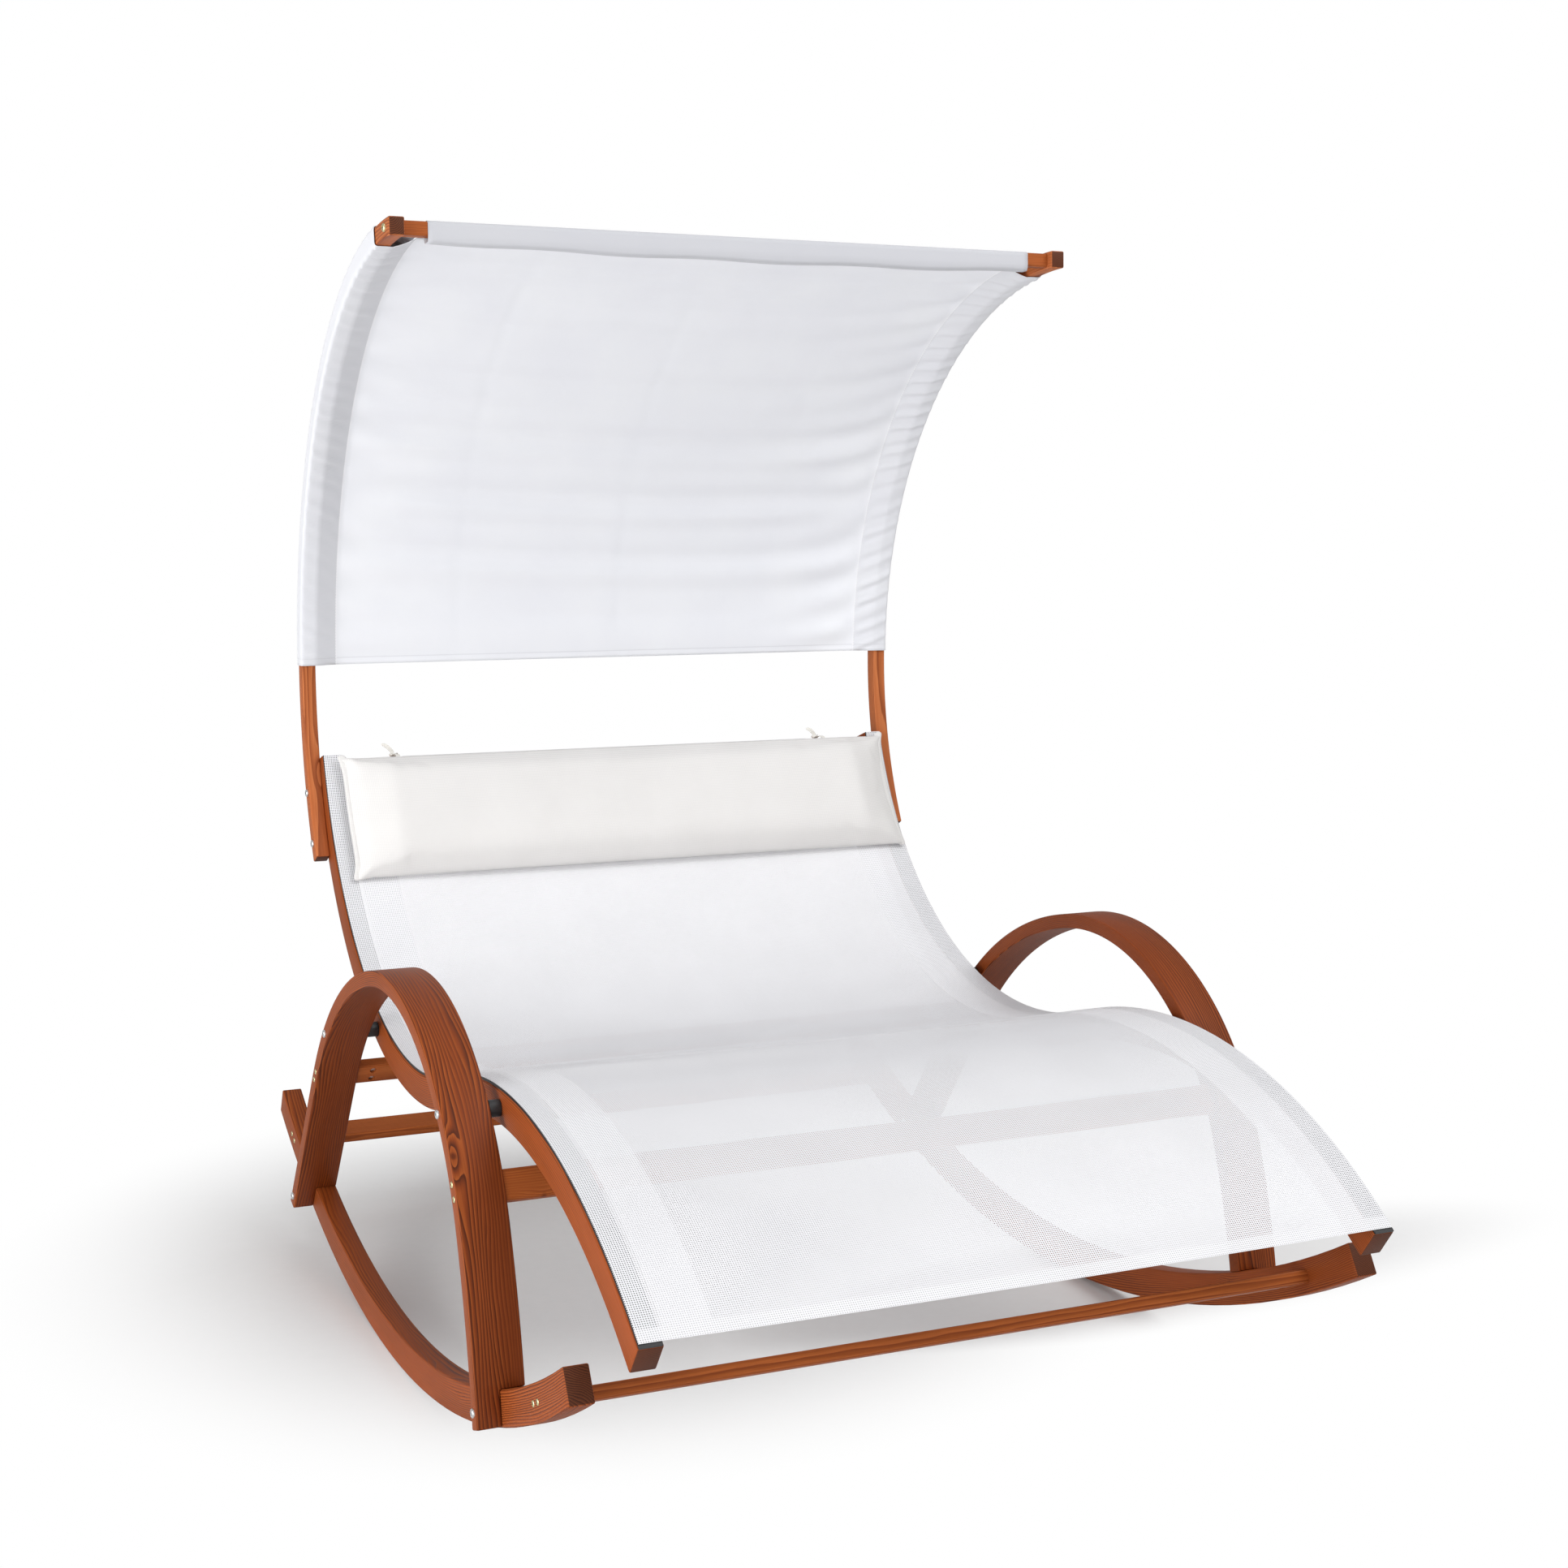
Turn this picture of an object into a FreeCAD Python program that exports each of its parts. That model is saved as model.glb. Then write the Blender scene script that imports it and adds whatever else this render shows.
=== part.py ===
"""Double rocking lounger with a canopy, as a parametric assembly in millimetres.

Axes: +X to the right seen from the front, +Y to the rear, +Z up. The origin is on the floor, under the
middle of the lounger's bounding box. Bent laminated members lie in planes square to X. Round holes, bolts
and nuts repeat so often that they are many-sided prisms of the same size.
"""
import FreeCAD, Part
import math
import os

import Sketcher
from FreeCAD import Placement, Rotation, Vector

SIZES = (
    # Side rails: an S seen from the side, given by its top line from the front end to the back's top
    ("rail_outer", 632.0, "half the width over the two side rails"),
    ("rail_width", 40.0, "rail section across"),
    ("rail_depth", 55.0, "rail section in the plane of the bend"),
    ("wood_ease", 3.0, "bevel on the long edges of every wooden member"),
    ("rail_nose_y", -1011.37, "front end of the rail's top line"),
    ("rail_nose_z", 394.17, "height of that end above the floor"),
    ("rail_nose_pitch", 35.47, "slope of the front end, degrees"),
    ("rail_nose_length", 40.0, "straight front end"),
    ("knee_radius", 985.0, "top line over the knees"),
    ("knee_turn", 54.2, "bend over the knees, degrees"),
    ("seat_radius", 714.0, "top line through seat and back"),
    ("seat_turn", 90.4, "bend through seat and back, degrees"),
    # Sling and the strips that hold its edges
    ("strip_width", 35.0, "black edge strip across"),
    ("strip_thick", 3.0, "black edge strip"),
    ("sling_half_width", 629.0, "middle of the sling to its edge"),
    ("sling_thick", 2.0, "sling cloth, doubled at the hems"),
    ("sleeve_half_length", 462.0, "middle to the end of the sling's top sleeve"),
    ("top_bar_dia", 28.0, "round bar across the top of the back"),
    ("top_bar_drop", 18.0, "end of the rail to the axis of the top bar"),
    # Arm arches: bent board standing on the rockers
    ("arch_gap", 20.0, "rail to arch, the length of a spacer"),
    ("arch_width", 80.0, "arch board across"),
    ("arch_thick", 28.0, "arch board in the plane of the bend"),
    ("arch_foot_y", -583.42, "lower end of the front leg's middle line, before it is cut to the rocker"),
    ("arch_foot_z", 72.71, "height of that end"),
    ("arch_foot_pitch", 79.77, "slope of the front leg's foot, degrees"),
    ("arch_foot_length", 90.0, "straight foot of the front leg"),
    ("arch_shin_radius", 1355.0, "front leg"),
    ("arch_shin_turn", 11.1, "front leg, degrees"),
    ("arch_crown_radius", 469.0, "front of the crown"),
    ("arch_crown_turn", 78.5, "front of the crown, degrees"),
    ("arch_rear_radius", 747.0, "rear of the crown"),
    ("arch_rear_turn", 43.9, "rear of the crown, degrees"),
    ("arch_rear_length", 500.0, "straight rear leg before it is cut to the rocker"),
    ("spacer_dia", 28.0, "black spacer between rail and arch"),
    # Rockers
    ("rocker_radius", 1977.0, "underside of the rocker"),
    ("rocker_depth", 57.0, "rocker section in the plane of the bend"),
    ("rocker_width", 40.0, "rocker section across"),
    ("rocker_centre_y", 114.82, "lowest point of the rocker"),
    ("rocker_front_angle", 30.93, "lowest point to the front end, degrees"),
    ("rocker_rear_angle", 27.07, "lowest point to the rear end, degrees"),
    ("tongue_lift", 2.0, "arch tongue ends this far above the rocker's underside"),
    ("trim_reach", 230.0, "rocker's underside to the far side of the cut that trims an arch"),
    # Crossbars
    ("bar_depth", 50.0, "crossbar section, the long way"),
    ("bar_thick", 22.0, "crossbar section, the short way"),
    ("rocker_bar_front_angle", 26.33, "lowest point to the front rocker bar, degrees"),
    ("rocker_bar_rear_angle", 23.47, "lowest point to the rear rocker bar, degrees"),
    ("arch_bar_front_height", 469.3, "height of the front arch bar"),
    ("arch_bar_rear_height", 423.16, "height of the rear arch bar"),
    # Canopy: posts bent to one circle through their bolts, a bar across their tips and the cloth on them
    ("canopy_radius", 802.0, "middle line of a post"),
    ("post_width", 28.0, "post section across"),
    ("post_depth", 32.0, "post section in the plane of the bend"),
    ("post_bolt_low_drop", 166.3, "rail's upper end to the lower post bolt, along the rail"),
    ("post_bolt_low_depth", 46.5, "rail's top line down to that bolt"),
    ("post_bolt_high_drop", 66.2, "rail's upper end to the upper post bolt, along the rail"),
    ("post_bolt_high_depth", 36.9, "rail's top line down to that bolt"),
    ("post_foot_turn", 2.4, "lower bolt to the foot of the post, degrees"),
    ("post_tip_turn", 106.3, "upper bolt to the tip of the post, degrees"),
    ("canopy_bar_turn", 104.3, "upper bolt to the bar across the tips, degrees"),
    ("canopy_bar_side", 25.0, "square section of that bar"),
    ("cloth_low_turn", 18.7, "upper bolt to the lower hem, degrees"),
    ("cloth_high_turn", 99.7, "upper bolt to the upper end of the side sleeves, degrees"),
    ("cloth_thick", 1.6, "canopy cloth with its seams"),
    ("cloth_ease", 1.0, "slack between a sleeve and the wood in it"),
    ("stitch_inset", 45.0, "inner face of the post to the sleeve's stitch line"),
    ("stitch_width", 5.0, "cloth closed together at the stitch line"),
    ("front_sleeve_half_length", 588.0, "middle to the end of the sleeve on the bar"),
    # Head pillow and its ties
    ("pillow_half_length", 617.0, "middle of the pillow to its corner"),
    ("pillow_shift", 9.0, "pillow pushed along the bar"),
    ("pillow_height", 270.0, "top seam to bottom seam, along the back"),
    ("pillow_rise", 13.0, "top seam above the axis of the top bar"),
    ("pillow_thick", 56.0, "pillow at its crown"),
    ("pillow_seam", 6.0, "closed edge of the pillow"),
    ("pillow_wall", 2.0, "pillow cover, round its filling"),
    ("pillow_draw", 11.0, "sides drawn in between the corners"),
    ("pillow_slope", 90.0, "end of the pillow to its full crown"),
    ("tie_place", 480.0, "middle of the lounger to a tie"),
    ("tie_width", 9.0, "tie tape"),
    ("tie_thick", 2.0, "tie tape"),
    ("tie_tail", 26.0, "loose end of a tie"),
    ("tie_tongue_start", 6.5, "axis of the top bar to the start of a tie's tongue"),
    # Fasteners and clearances
    ("bolt_dia", 8.0, "every bolt's shank"),
    ("bolt_head_dia", 15.0, "button head"),
    ("bolt_head_height", 4.0, "button head"),
    ("pair_pitch", 23.0, "between the two bolts at a bar's end"),
    ("pair_head_dia", 11.0, "sunk head of a bar bolt"),
    ("pair_sink", 5.0, "depth of that head's seat"),
    ("nut_across", 13.0, "flats of a nut"),
    ("nut_height", 6.5, "nut"),
    ("barrel_dia", 12.0, "barrel nut in a bar"),
    ("barrel_length", 14.0, "barrel nut, sunk in its hole"),
    ("barrel_inset", 30.0, "end of a bar to its barrel nuts"),
    ("bolt_past", 6.0, "bolt end beyond a barrel nut's axis"),
    ("screw_grip", 45.0, "top bar screw inside the bar"),
    ("screw_sink", 8.0, "counterbore of the top bar screw"),
    ("hole_clear", 0.25, "radial play of a bolt in its hole"),
    ("seat_clear", 0.2, "play between curved faces that lie on each other"),
    ("run_clear", 0.5, "play between pieces that move"),
)

doc = FreeCAD.newDocument("rocking_lounger")
sheet = doc.addObject("Spreadsheet::Sheet", "dims")
for row, (alias, number, meaning) in enumerate(SIZES, start=1):
    sheet.set(f"A{row}", meaning)
    sheet.set(f"B{row}", str(number))
    sheet.setAlias(f"B{row}", alias)
doc.recompute()

SIDES = (("left", -1), ("right", 1))
X_AXIS = Vector(1, 0, 0)
nodes = []


def size(alias):
    """The number in the sheet's cell of that name."""
    return float(sheet.get(alias))


def value(expression):
    """The number that an expression on the sheet gives."""
    return float(sheet.evalExpression(expression))


def dim(alias):
    """A sheet name as it stands in an expression."""
    return f"dims.{alias}"


def keep(node, label):
    """Name a finished sub-part and put it on the list to be written."""
    node.Label = label
    nodes.append(node)
    return node


# Paths in a plane square to X, as straight runs and tangent arcs
class Path:
    """Straight runs and arcs that join without a corner, given by expressions, in (Y, Z)."""

    def __init__(self, start, pitch, runs):
        self.names = (start, pitch, runs)
        place = Vector(0, value(start[0]), value(start[1]))
        angle = math.radians(value(pitch))
        self.pieces = []
        self.length = 0.0
        for run in runs:
            turn = 0.0
            if run[0] == "line":
                reach = value(run[1])
            else:
                turn = math.radians(value(run[2])) * run[3]
                reach = value(run[1]) * abs(turn)
            self.pieces.append((self.length, reach, place, angle, turn))
            place = self.along(place, angle, turn, reach, reach)
            angle += turn
            self.length += reach

    @staticmethod
    def along(place, angle, turn, reach, travel):
        """The point at a travel along one run from its start."""
        if turn == 0.0:
            return place + Vector(0, math.cos(angle), math.sin(angle)) * travel
        chord_angle = angle + turn * travel / reach / 2
        radius = reach / abs(turn)
        chord = 2 * radius * math.sin(abs(turn) * travel / reach / 2)
        return place + Vector(0, math.cos(chord_angle), math.sin(chord_angle)) * chord

    def at(self, travel, lift=0.0):
        """The point at a travel along the path, lifted off it to the left, and the heading there."""
        begin, reach, place, angle, turn = [p for p in self.pieces if p[0] <= max(travel, 0.0)][-1]
        point = self.along(place, angle, turn, reach, travel - begin)
        heading = angle + turn * (travel - begin) / reach
        return point + Vector(0, -math.sin(heading), math.cos(heading)) * lift, heading

    def find(self, measure, low, high):
        """The travel between two shares of the length at which a measure of the point changes sign."""
        low, high = low * self.length, high * self.length
        rising = measure(self.at(high)[0]) > measure(self.at(low)[0])
        for _ in range(50):
            middle = (low + high) / 2
            if (measure(self.at(middle)[0]) > 0) == rising:
                high = middle
            else:
                low = middle
        return (low + high) / 2


def rail_runs(last_turn):
    """The rail's top line, with the bend through seat and back ending at a turn."""
    return (
        ("line", dim("rail_nose_length")),
        ("arc", dim("knee_radius"), dim("knee_turn"), -1),
        ("arc", dim("seat_radius"), last_turn, 1),
    )


ARCH_RUNS = (
    ("line", dim("arch_foot_length")),
    ("arc", dim("arch_shin_radius"), dim("arch_shin_turn"), -1),
    ("arc", dim("arch_crown_radius"), dim("arch_crown_turn"), -1),
    ("arc", dim("arch_rear_radius"), dim("arch_rear_turn"), -1),
    ("line", dim("arch_rear_length")),
)
RAIL_START = (dim("rail_nose_y"), dim("rail_nose_z"))
SLING_TURN = f"({dim('seat_turn')} - {dim('top_bar_drop')} / {dim('seat_radius')} * 180 / pi)"
rail_path = Path(RAIL_START, dim("rail_nose_pitch"), rail_runs(dim("seat_turn")))
sling_path = Path(RAIL_START, dim("rail_nose_pitch"), rail_runs(SLING_TURN))
arch_path = Path((dim("arch_foot_y"), dim("arch_foot_z")), dim("arch_foot_pitch"), ARCH_RUNS)

rail_inner = size("rail_outer") - size("rail_width")
arch_inner = size("rail_outer") + size("arch_gap")
arch_outer = arch_inner + size("arch_width")
rocker_outer = arch_inner + size("rocker_width")
post_outer = size("rail_outer") + size("post_width")
rocker_centre = Vector(0, size("rocker_centre_y"), size("rocker_radius"))
rocker_middle = size("rocker_radius") - size("rocker_depth") / 2
post_bolts = [
    rail_path.at(rail_path.length - size(f"post_bolt_{end}_drop"), -size(f"post_bolt_{end}_depth"))[0]
    for end in ("low", "high")
]
post_chord = post_bolts[1] - post_bolts[0]
canopy_side = Vector(0, -post_chord.z, post_chord.y).normalize()
canopy_reach = math.sqrt(size("canopy_radius") ** 2 - (post_chord.Length / 2) ** 2)
canopy_centre = (post_bolts[0] + post_bolts[1]) / 2 + canopy_side * canopy_reach
low_angle, high_angle = [
    math.degrees(math.atan2(bolt.z - canopy_centre.z, bolt.y - canopy_centre.y)) for bolt in post_bolts
]


def rail_height_over(point):
    """How far a point lies above the rail's middle line, measured on the nearest of many stations."""
    stations = 400
    middle = -size("rail_depth") / 2
    line = [rail_path.at(rail_path.length * k / stations, middle)[0] for k in range(stations + 1)]
    near = min(range(1, stations), key=lambda k: (line[k] - point).Length)
    along = line[near + 1] - line[near - 1]
    across = point - line[near]
    return along.y * across.z - along.z * across.y


def off_rocker_line(point):
    """How far a point lies outside the rocker's middle line."""
    return (point - rocker_centre).Length - rocker_middle


def on_circle(centre, radius, angle):
    """A point on a circle square to X, at an angle above level in degrees."""
    turned = math.radians(angle)
    return centre + Vector(0, math.cos(turned), math.sin(turned)) * radius


# Where the members meet, found on their middle lines
spacer_front = arch_path.at(arch_path.find(rail_height_over, 0.1, 0.45))[0]
spacer_rear = arch_path.at(arch_path.find(rail_height_over, 0.55, 0.9))[0]
foot_front = arch_path.at(arch_path.find(off_rocker_line, 0.0, 0.3))[0]
foot_rear = arch_path.at(arch_path.find(off_rocker_line, 0.7, 1.0))[0]
bar_front_travel = arch_path.find(lambda p: p.z - size("arch_bar_front_height"), 0.0, 0.45)
bar_rear_travel = arch_path.find(lambda p: p.z - size("arch_bar_rear_height"), 0.55, 1.0)
top_bar_travel = rail_path.length - size("top_bar_drop")
top_bar_axis, back_pitch = rail_path.at(top_bar_travel, -size("rail_depth") / 2)


# Sketches and features
def new_body(name):
    return doc.addObject("PartDesign::Body", name)


def new_sketch(body, role, offset=None):
    """A sketch on one of the body's own origin planes, moved by an offset in that plane's axes."""
    sketch = body.newObject("Sketcher::SketchObject", f"{body.Name}_sketch")
    plane = next(f for f in body.Origin.OriginFeatures if f.Role == role)
    sketch.AttachmentSupport = [(plane, "")]
    sketch.MapMode = "FlatFace"
    if offset is not None:
        sketch.AttachmentOffset = offset
    return sketch


def pinned(geometry, end, place):
    """Constraints that fix a sketch point at two expressions, each with its expression."""
    bounds = []
    for kind, axis, expression in (("DistanceX", -2, place[0]), ("DistanceY", -1, place[1])):
        distance = value(expression)
        if abs(distance) < 1e-9:
            bounds.append((Sketcher.Constraint("PointOnObject", geometry, end, axis), None))
        else:
            bounds.append((Sketcher.Constraint(kind, -1, 1, geometry, end, distance), expression))
    return bounds


def bind(sketch, bounds):
    """Add constraints to a sketch and tie each to its expression."""
    first = sketch.ConstraintCount
    sketch.addConstraint([constraint for constraint, expression in bounds])
    for k, (constraint, expression) in enumerate(bounds):
        if expression is not None:
            sketch.setExpression(f"Constraints[{first + k}]", expression)


def add_polygon(sketch, corners):
    """A closed outline whose corners are pairs of expressions."""
    places = [Vector(*(value(e) for e in corner), 0) for corner in corners]
    first = sketch.GeometryCount
    count = len(corners)
    bounds = []
    for k in range(count):
        sketch.addGeometry(Part.LineSegment(places[k], places[(k + 1) % count]))
        following = first + (k + 1) % count
        bounds.append((Sketcher.Constraint("Coincident", first + k, 2, following, 1), None))
    for k in range(count):
        bounds += pinned(first + k, 1, corners[k])
    bind(sketch, bounds)


def add_circle(sketch, y, z, radius):
    """A circle at a place, with its radius an expression."""
    reach = value(radius)
    index = sketch.addGeometry(Part.Circle(Vector(y, z, 0), Vector(0, 0, 1), reach))
    bounds = pinned(index, 3, (repr(y), repr(z)))
    bounds.append((Sketcher.Constraint("Radius", index, reach), radius))
    bind(sketch, bounds)


def add_facets(sketch, y, z, radius, sides):
    """A many-sided outline round a circle at a place, with the circle's radius an expression."""
    corner = f"({radius}) / cos({180 / sides})"
    turns = [360 * (k + 0.5) / sides for k in range(sides)]
    add_polygon(sketch, [(f"{y!r} + {corner} * cos({t})", f"{z!r} + {corner} * sin({t})") for t in turns])


def eased(left, right, low, high, ease=dim("wood_ease")):
    """The eight corners of a rectangle with bevelled edges, as expressions."""
    return (
        (f"{left} + {ease}", low), (f"{right} - {ease}", low),
        (right, f"{low} + {ease}"), (right, f"{high} - {ease}"),
        (f"{right} - {ease}", high), (f"{left} + {ease}", high),
        (left, f"{high} - {ease}"), (left, f"{low} + {ease}"),
    )


def across(side, inner, outer):
    """The low and high X of a member that lies between two distances on one side."""
    return (inner, outer) if side > 0 else (f"-({outer})", f"-({inner})")


def add_spine(body, path):
    """The path as a sketch square to X, bound run by run to the sheet."""
    start, pitch, runs = path.names
    sketch = new_sketch(body, "YZ_Plane")
    previous = None
    for (_, reach, place, angle, turn), run in zip(path.pieces, runs):
        flat = Vector(place.y, place.z, 0)
        if run[0] == "line":
            tip = flat + Vector(math.cos(angle), math.sin(angle), 0) * reach
            index = sketch.addGeometry(Part.LineSegment(flat, tip))
            ends = (1, 2)
            bounds = [(Sketcher.Constraint("Distance", index, reach), run[1])]
        else:
            radius = value(run[1])
            bend = run[3]
            centre = flat + Vector(-math.sin(angle), math.cos(angle), 0) * radius * bend
            circle = Part.Circle(centre, Vector(0, 0, 1), radius)
            rim = angle - bend * math.pi / 2
            index = sketch.addGeometry(Part.ArcOfCircle(circle, min(rim, rim + turn), max(rim, rim + turn)))
            ends = (1, 2) if bend > 0 else (2, 1)
            bounds = [
                (Sketcher.Constraint("Radius", index, radius), run[1]),
                (Sketcher.Constraint("Angle", index, abs(turn)), f"{run[2]} * 1 deg"),
            ]
        if previous is None:
            bounds += pinned(index, ends[0], start)
            bounds.append((Sketcher.Constraint("Angle", index, angle), f"{pitch} * 1 deg"))
        else:
            bounds.insert(0, (Sketcher.Constraint("Tangent", *previous, index, ends[0]), None))
        bind(sketch, bounds)
        previous = (index, ends[1])
    return sketch


def square_to(path):
    """The offset that stands a sketch of the XZ plane square to a path's start."""
    start, heading = path.at(0.0)
    return Placement(Vector(0, start.z, -start.y), Rotation(X_AXIS, math.degrees(heading)))


def add_bend(body, path, corners):
    """A section carried along a path. Section axes: X, and up from the path to its left."""
    spine = add_spine(body, path)
    section = new_sketch(body, "XZ_Plane", square_to(path))
    add_polygon(section, corners)
    doc.recompute()
    pipe = body.newObject("PartDesign::AdditivePipe", f"{body.Name}_bend")
    pipe.Profile = (section, [""])
    pipe.Spine = (spine, [f"Edge{k + 1}" for k in range(len(path.pieces))])
    pipe.Mode = "Binormal"
    pipe.Binormal = X_AXIS
    return pipe


def add_revolution(body, role, corners, angle, holes=(), offset=None):
    """A section turned about the body's X axis by an expression in degrees."""
    section = new_sketch(body, role, offset)
    add_polygon(section, corners)
    for hole in holes:
        add_polygon(section, hole)
    turned = body.newObject("PartDesign::Revolution", f"{body.Name}_turn")
    turned.Profile = (section, [""])
    turned.ReferenceAxis = (next(f for f in body.Origin.OriginFeatures if f.Role == "X_Axis"), [""])
    turned.setExpression("Angle", f"{angle} * 1 deg")
    return turned


def add_pad(body, section, length):
    """A section padded the same way to both sides of its plane."""
    pad = body.newObject("PartDesign::Pad", f"{body.Name}_pad")
    pad.Profile = (section, [""])
    pad.SideType = "Symmetric"
    pad.setExpression("Length", length)
    return pad


def add_through(body, section):
    """A pocket right through, both ways from its sketch."""
    pocket = body.newObject("PartDesign::Pocket", f"{body.Name}_through")
    pocket.Profile = (section, [""])
    pocket.SideType = "Symmetric"
    pocket.Type = "ThroughAll"
    return pocket


def add_pocket(body, section, depth, towards_plus):
    """A pocket of a depth from its sketch, along the sketch's own Z, up or down."""
    pocket = body.newObject("PartDesign::Pocket", f"{body.Name}_pocket")
    pocket.Profile = (section, [""])
    pocket.setExpression("Length", depth)
    pocket.Reversed = towards_plus
    return pocket


def drill(body, centres):
    """Bolt holes along X through a member, at places in (Y, Z) of its body."""
    section = new_sketch(body, "YZ_Plane")
    for centre in centres:
        add_facets(section, centre.y, centre.z, HOLE_RADIUS, HOLE_SIDES)
    return add_through(body, section)


def plane_at(x):
    """The offset that moves a sketch of the YZ plane to an X."""
    return Placement(Vector(0, 0, x), Rotation())


def sink_heads(body, side, x, centres, radius, sides, depth):
    """Counterbores into a member's outer face, at places in (Y, Z) of its body."""
    section = new_sketch(body, "YZ_Plane", plane_at(side * x))
    for centre in centres:
        add_facets(section, centre.y, centre.z, radius, sides)
    return add_pocket(body, section, depth, side < 0)


HOLE_SIDES = 6
BARREL_SIDES = 8
HEAD_SIDES = 10
HOLE_RADIUS = f"({dim('bolt_dia')} / 2 + {dim('hole_clear')})"
BARREL_RADIUS = f"({dim('barrel_dia')} / 2 + {dim('hole_clear')})"
HEAD_RADIUS = f"({dim('bolt_head_dia')} / 2 + {dim('hole_clear')})"
PAIR_HEAD_RADIUS = f"({dim('pair_head_dia')} / 2 + {dim('hole_clear')})"
ARCH_INNER = f"({dim('rail_outer')} + {dim('arch_gap')})"


# Side rails, with the black strips on their top faces
rail_inner_name = f"({dim('rail_outer')} - {dim('rail_width')})"
for name, side in SIDES:
    rail = new_body(f"{name}_side_rail")
    low, high = across(side, rail_inner_name, dim("rail_outer"))
    add_bend(rail, rail_path, eased(low, high, f"-{dim('rail_depth')}", "0"))
    drill(rail, [spacer_front, spacer_rear, top_bar_axis] + post_bolts)
    sink_heads(rail, side, size("rail_outer"), [top_bar_axis], HEAD_RADIUS, HEAD_SIDES, dim("screw_sink"))
    keep(rail, f"{name}_side_rail")

    strip = new_body(f"{name}_rail_strip")
    margin = f"(({dim('rail_width')} - {dim('strip_width')}) / 2)"
    low, high = across(side, f"({rail_inner_name} + {margin})", f"({dim('rail_outer')} - {margin})")
    foot = dim("seat_clear")
    top = f"({dim('seat_clear')} + {dim('strip_thick')})"
    add_bend(strip, rail_path, ((low, foot), (high, foot), (high, top), (low, top)))
    keep(strip, f"{name}_rail_strip")


# Sling: one sheet over both rails, with a sleeve round the top bar
sling_low = f"(2 * {dim('seat_clear')} + {dim('strip_thick')})"
sling_high = f"({sling_low} + {dim('sling_thick')})"
sling_lift = 2 * size("seat_clear") + size("strip_thick")
sling_edge = dim("sling_half_width")
sling = new_body("seat_sling")
add_bend(sling, sling_path, (
    (f"-{sling_edge}", sling_low), (sling_edge, sling_low),
    (sling_edge, sling_high), (f"-{sling_edge}", sling_high),
))
sleeve_inner = size("top_bar_dia") / 2 + size("run_clear")
sleeve_middle = sleeve_inner + size("sling_thick") / 2
leave = sling_path.at(sling_path.length - 2 * size("sling_thick"), sling_lift + size("sling_thick") / 2)[0]
reach = leave - top_bar_axis
swing = math.atan2(reach.z, reach.y) - math.acos(sleeve_middle / reach.Length)
outward = Vector(0, math.cos(swing), math.sin(swing))
touch = top_bar_axis + outward * sleeve_middle
half_cloth = outward * (size("sling_thick") / 2)
tab = new_sketch(sling, "YZ_Plane")
add_polygon(tab, [
    (repr(p.y), repr(p.z))
    for p in (leave - half_cloth, leave + half_cloth, touch + half_cloth, touch - half_cloth)
])
add_pad(sling, tab, f"2 * {dim('sleeve_half_length')}")
ring = new_sketch(sling, "YZ_Plane")
add_circle(ring, top_bar_axis.y, top_bar_axis.z, f"{dim('top_bar_dia')} / 2 + {dim('run_clear')}")
add_circle(ring, top_bar_axis.y, top_bar_axis.z,
           f"{dim('top_bar_dia')} / 2 + {dim('run_clear')} + {dim('sling_thick')}")
add_pad(sling, ring, f"2 * {dim('sleeve_half_length')}")
keep(sling, "seat_sling")


# Top bar: a round bar between the rails, screwed from outside
top_bar = new_body("top_crossbar")
top_bar.Placement = Placement(top_bar_axis, Rotation(X_AXIS, math.degrees(back_pitch)))
round_bar = new_sketch(top_bar, "YZ_Plane")
add_circle(round_bar, 0.0, 0.0, f"{dim('top_bar_dia')} / 2")
add_pad(top_bar, round_bar, f"2 * {rail_inner_name}")
for name, side in SIDES:
    end = new_sketch(top_bar, "YZ_Plane", plane_at(side * rail_inner))
    add_facets(end, 0.0, 0.0, HOLE_RADIUS, HOLE_SIDES)
    add_pocket(top_bar, end, dim("screw_grip"), side < 0)
keep(top_bar, "top_crossbar")


# Arm arches: the outer half of each foot is a tongue over the rocker, the inner half stands on it
arch_pairs = []
for travel in (bar_front_travel, bar_rear_travel):
    centre, heading = arch_path.at(travel)
    lean = Vector(0, math.cos(heading), math.sin(heading)) * (size("pair_pitch") / 2)
    arch_pairs.append((centre, heading, (centre - lean, centre + lean)))
for name, side in SIDES:
    arch = new_body(f"{name}_arm_arch")
    low, high = across(side, ARCH_INNER, f"({ARCH_INNER} + {dim('arch_width')})")
    half = f"({dim('arch_thick')} / 2)"
    add_bend(arch, arch_path, eased(low, high, f"-{half}", half))
    far = f"({dim('rocker_radius')} + {dim('trim_reach')})"
    trim = new_sketch(arch, "YZ_Plane")
    add_circle(trim, rocker_centre.y, rocker_centre.z, f"{dim('rocker_radius')} - {dim('tongue_lift')}")
    add_circle(trim, rocker_centre.y, rocker_centre.z, far)
    add_through(arch, trim)
    notch = new_sketch(arch, "YZ_Plane", plane_at(side * rocker_outer))
    add_circle(notch, rocker_centre.y, rocker_centre.z,
               f"{dim('rocker_radius')} - {dim('rocker_depth')} - {dim('seat_clear')}")
    add_circle(notch, rocker_centre.y, rocker_centre.z, far)
    add_pocket(arch, notch, dim("rocker_width"), side < 0)
    pairs = [place for pair in arch_pairs for place in pair[2]]
    drill(arch, [spacer_front, spacer_rear, foot_front, foot_rear] + pairs)
    sink_heads(arch, side, arch_outer, pairs, PAIR_HEAD_RADIUS, BARREL_SIDES, dim("pair_sink"))
    keep(arch, f"{name}_arm_arch")


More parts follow.
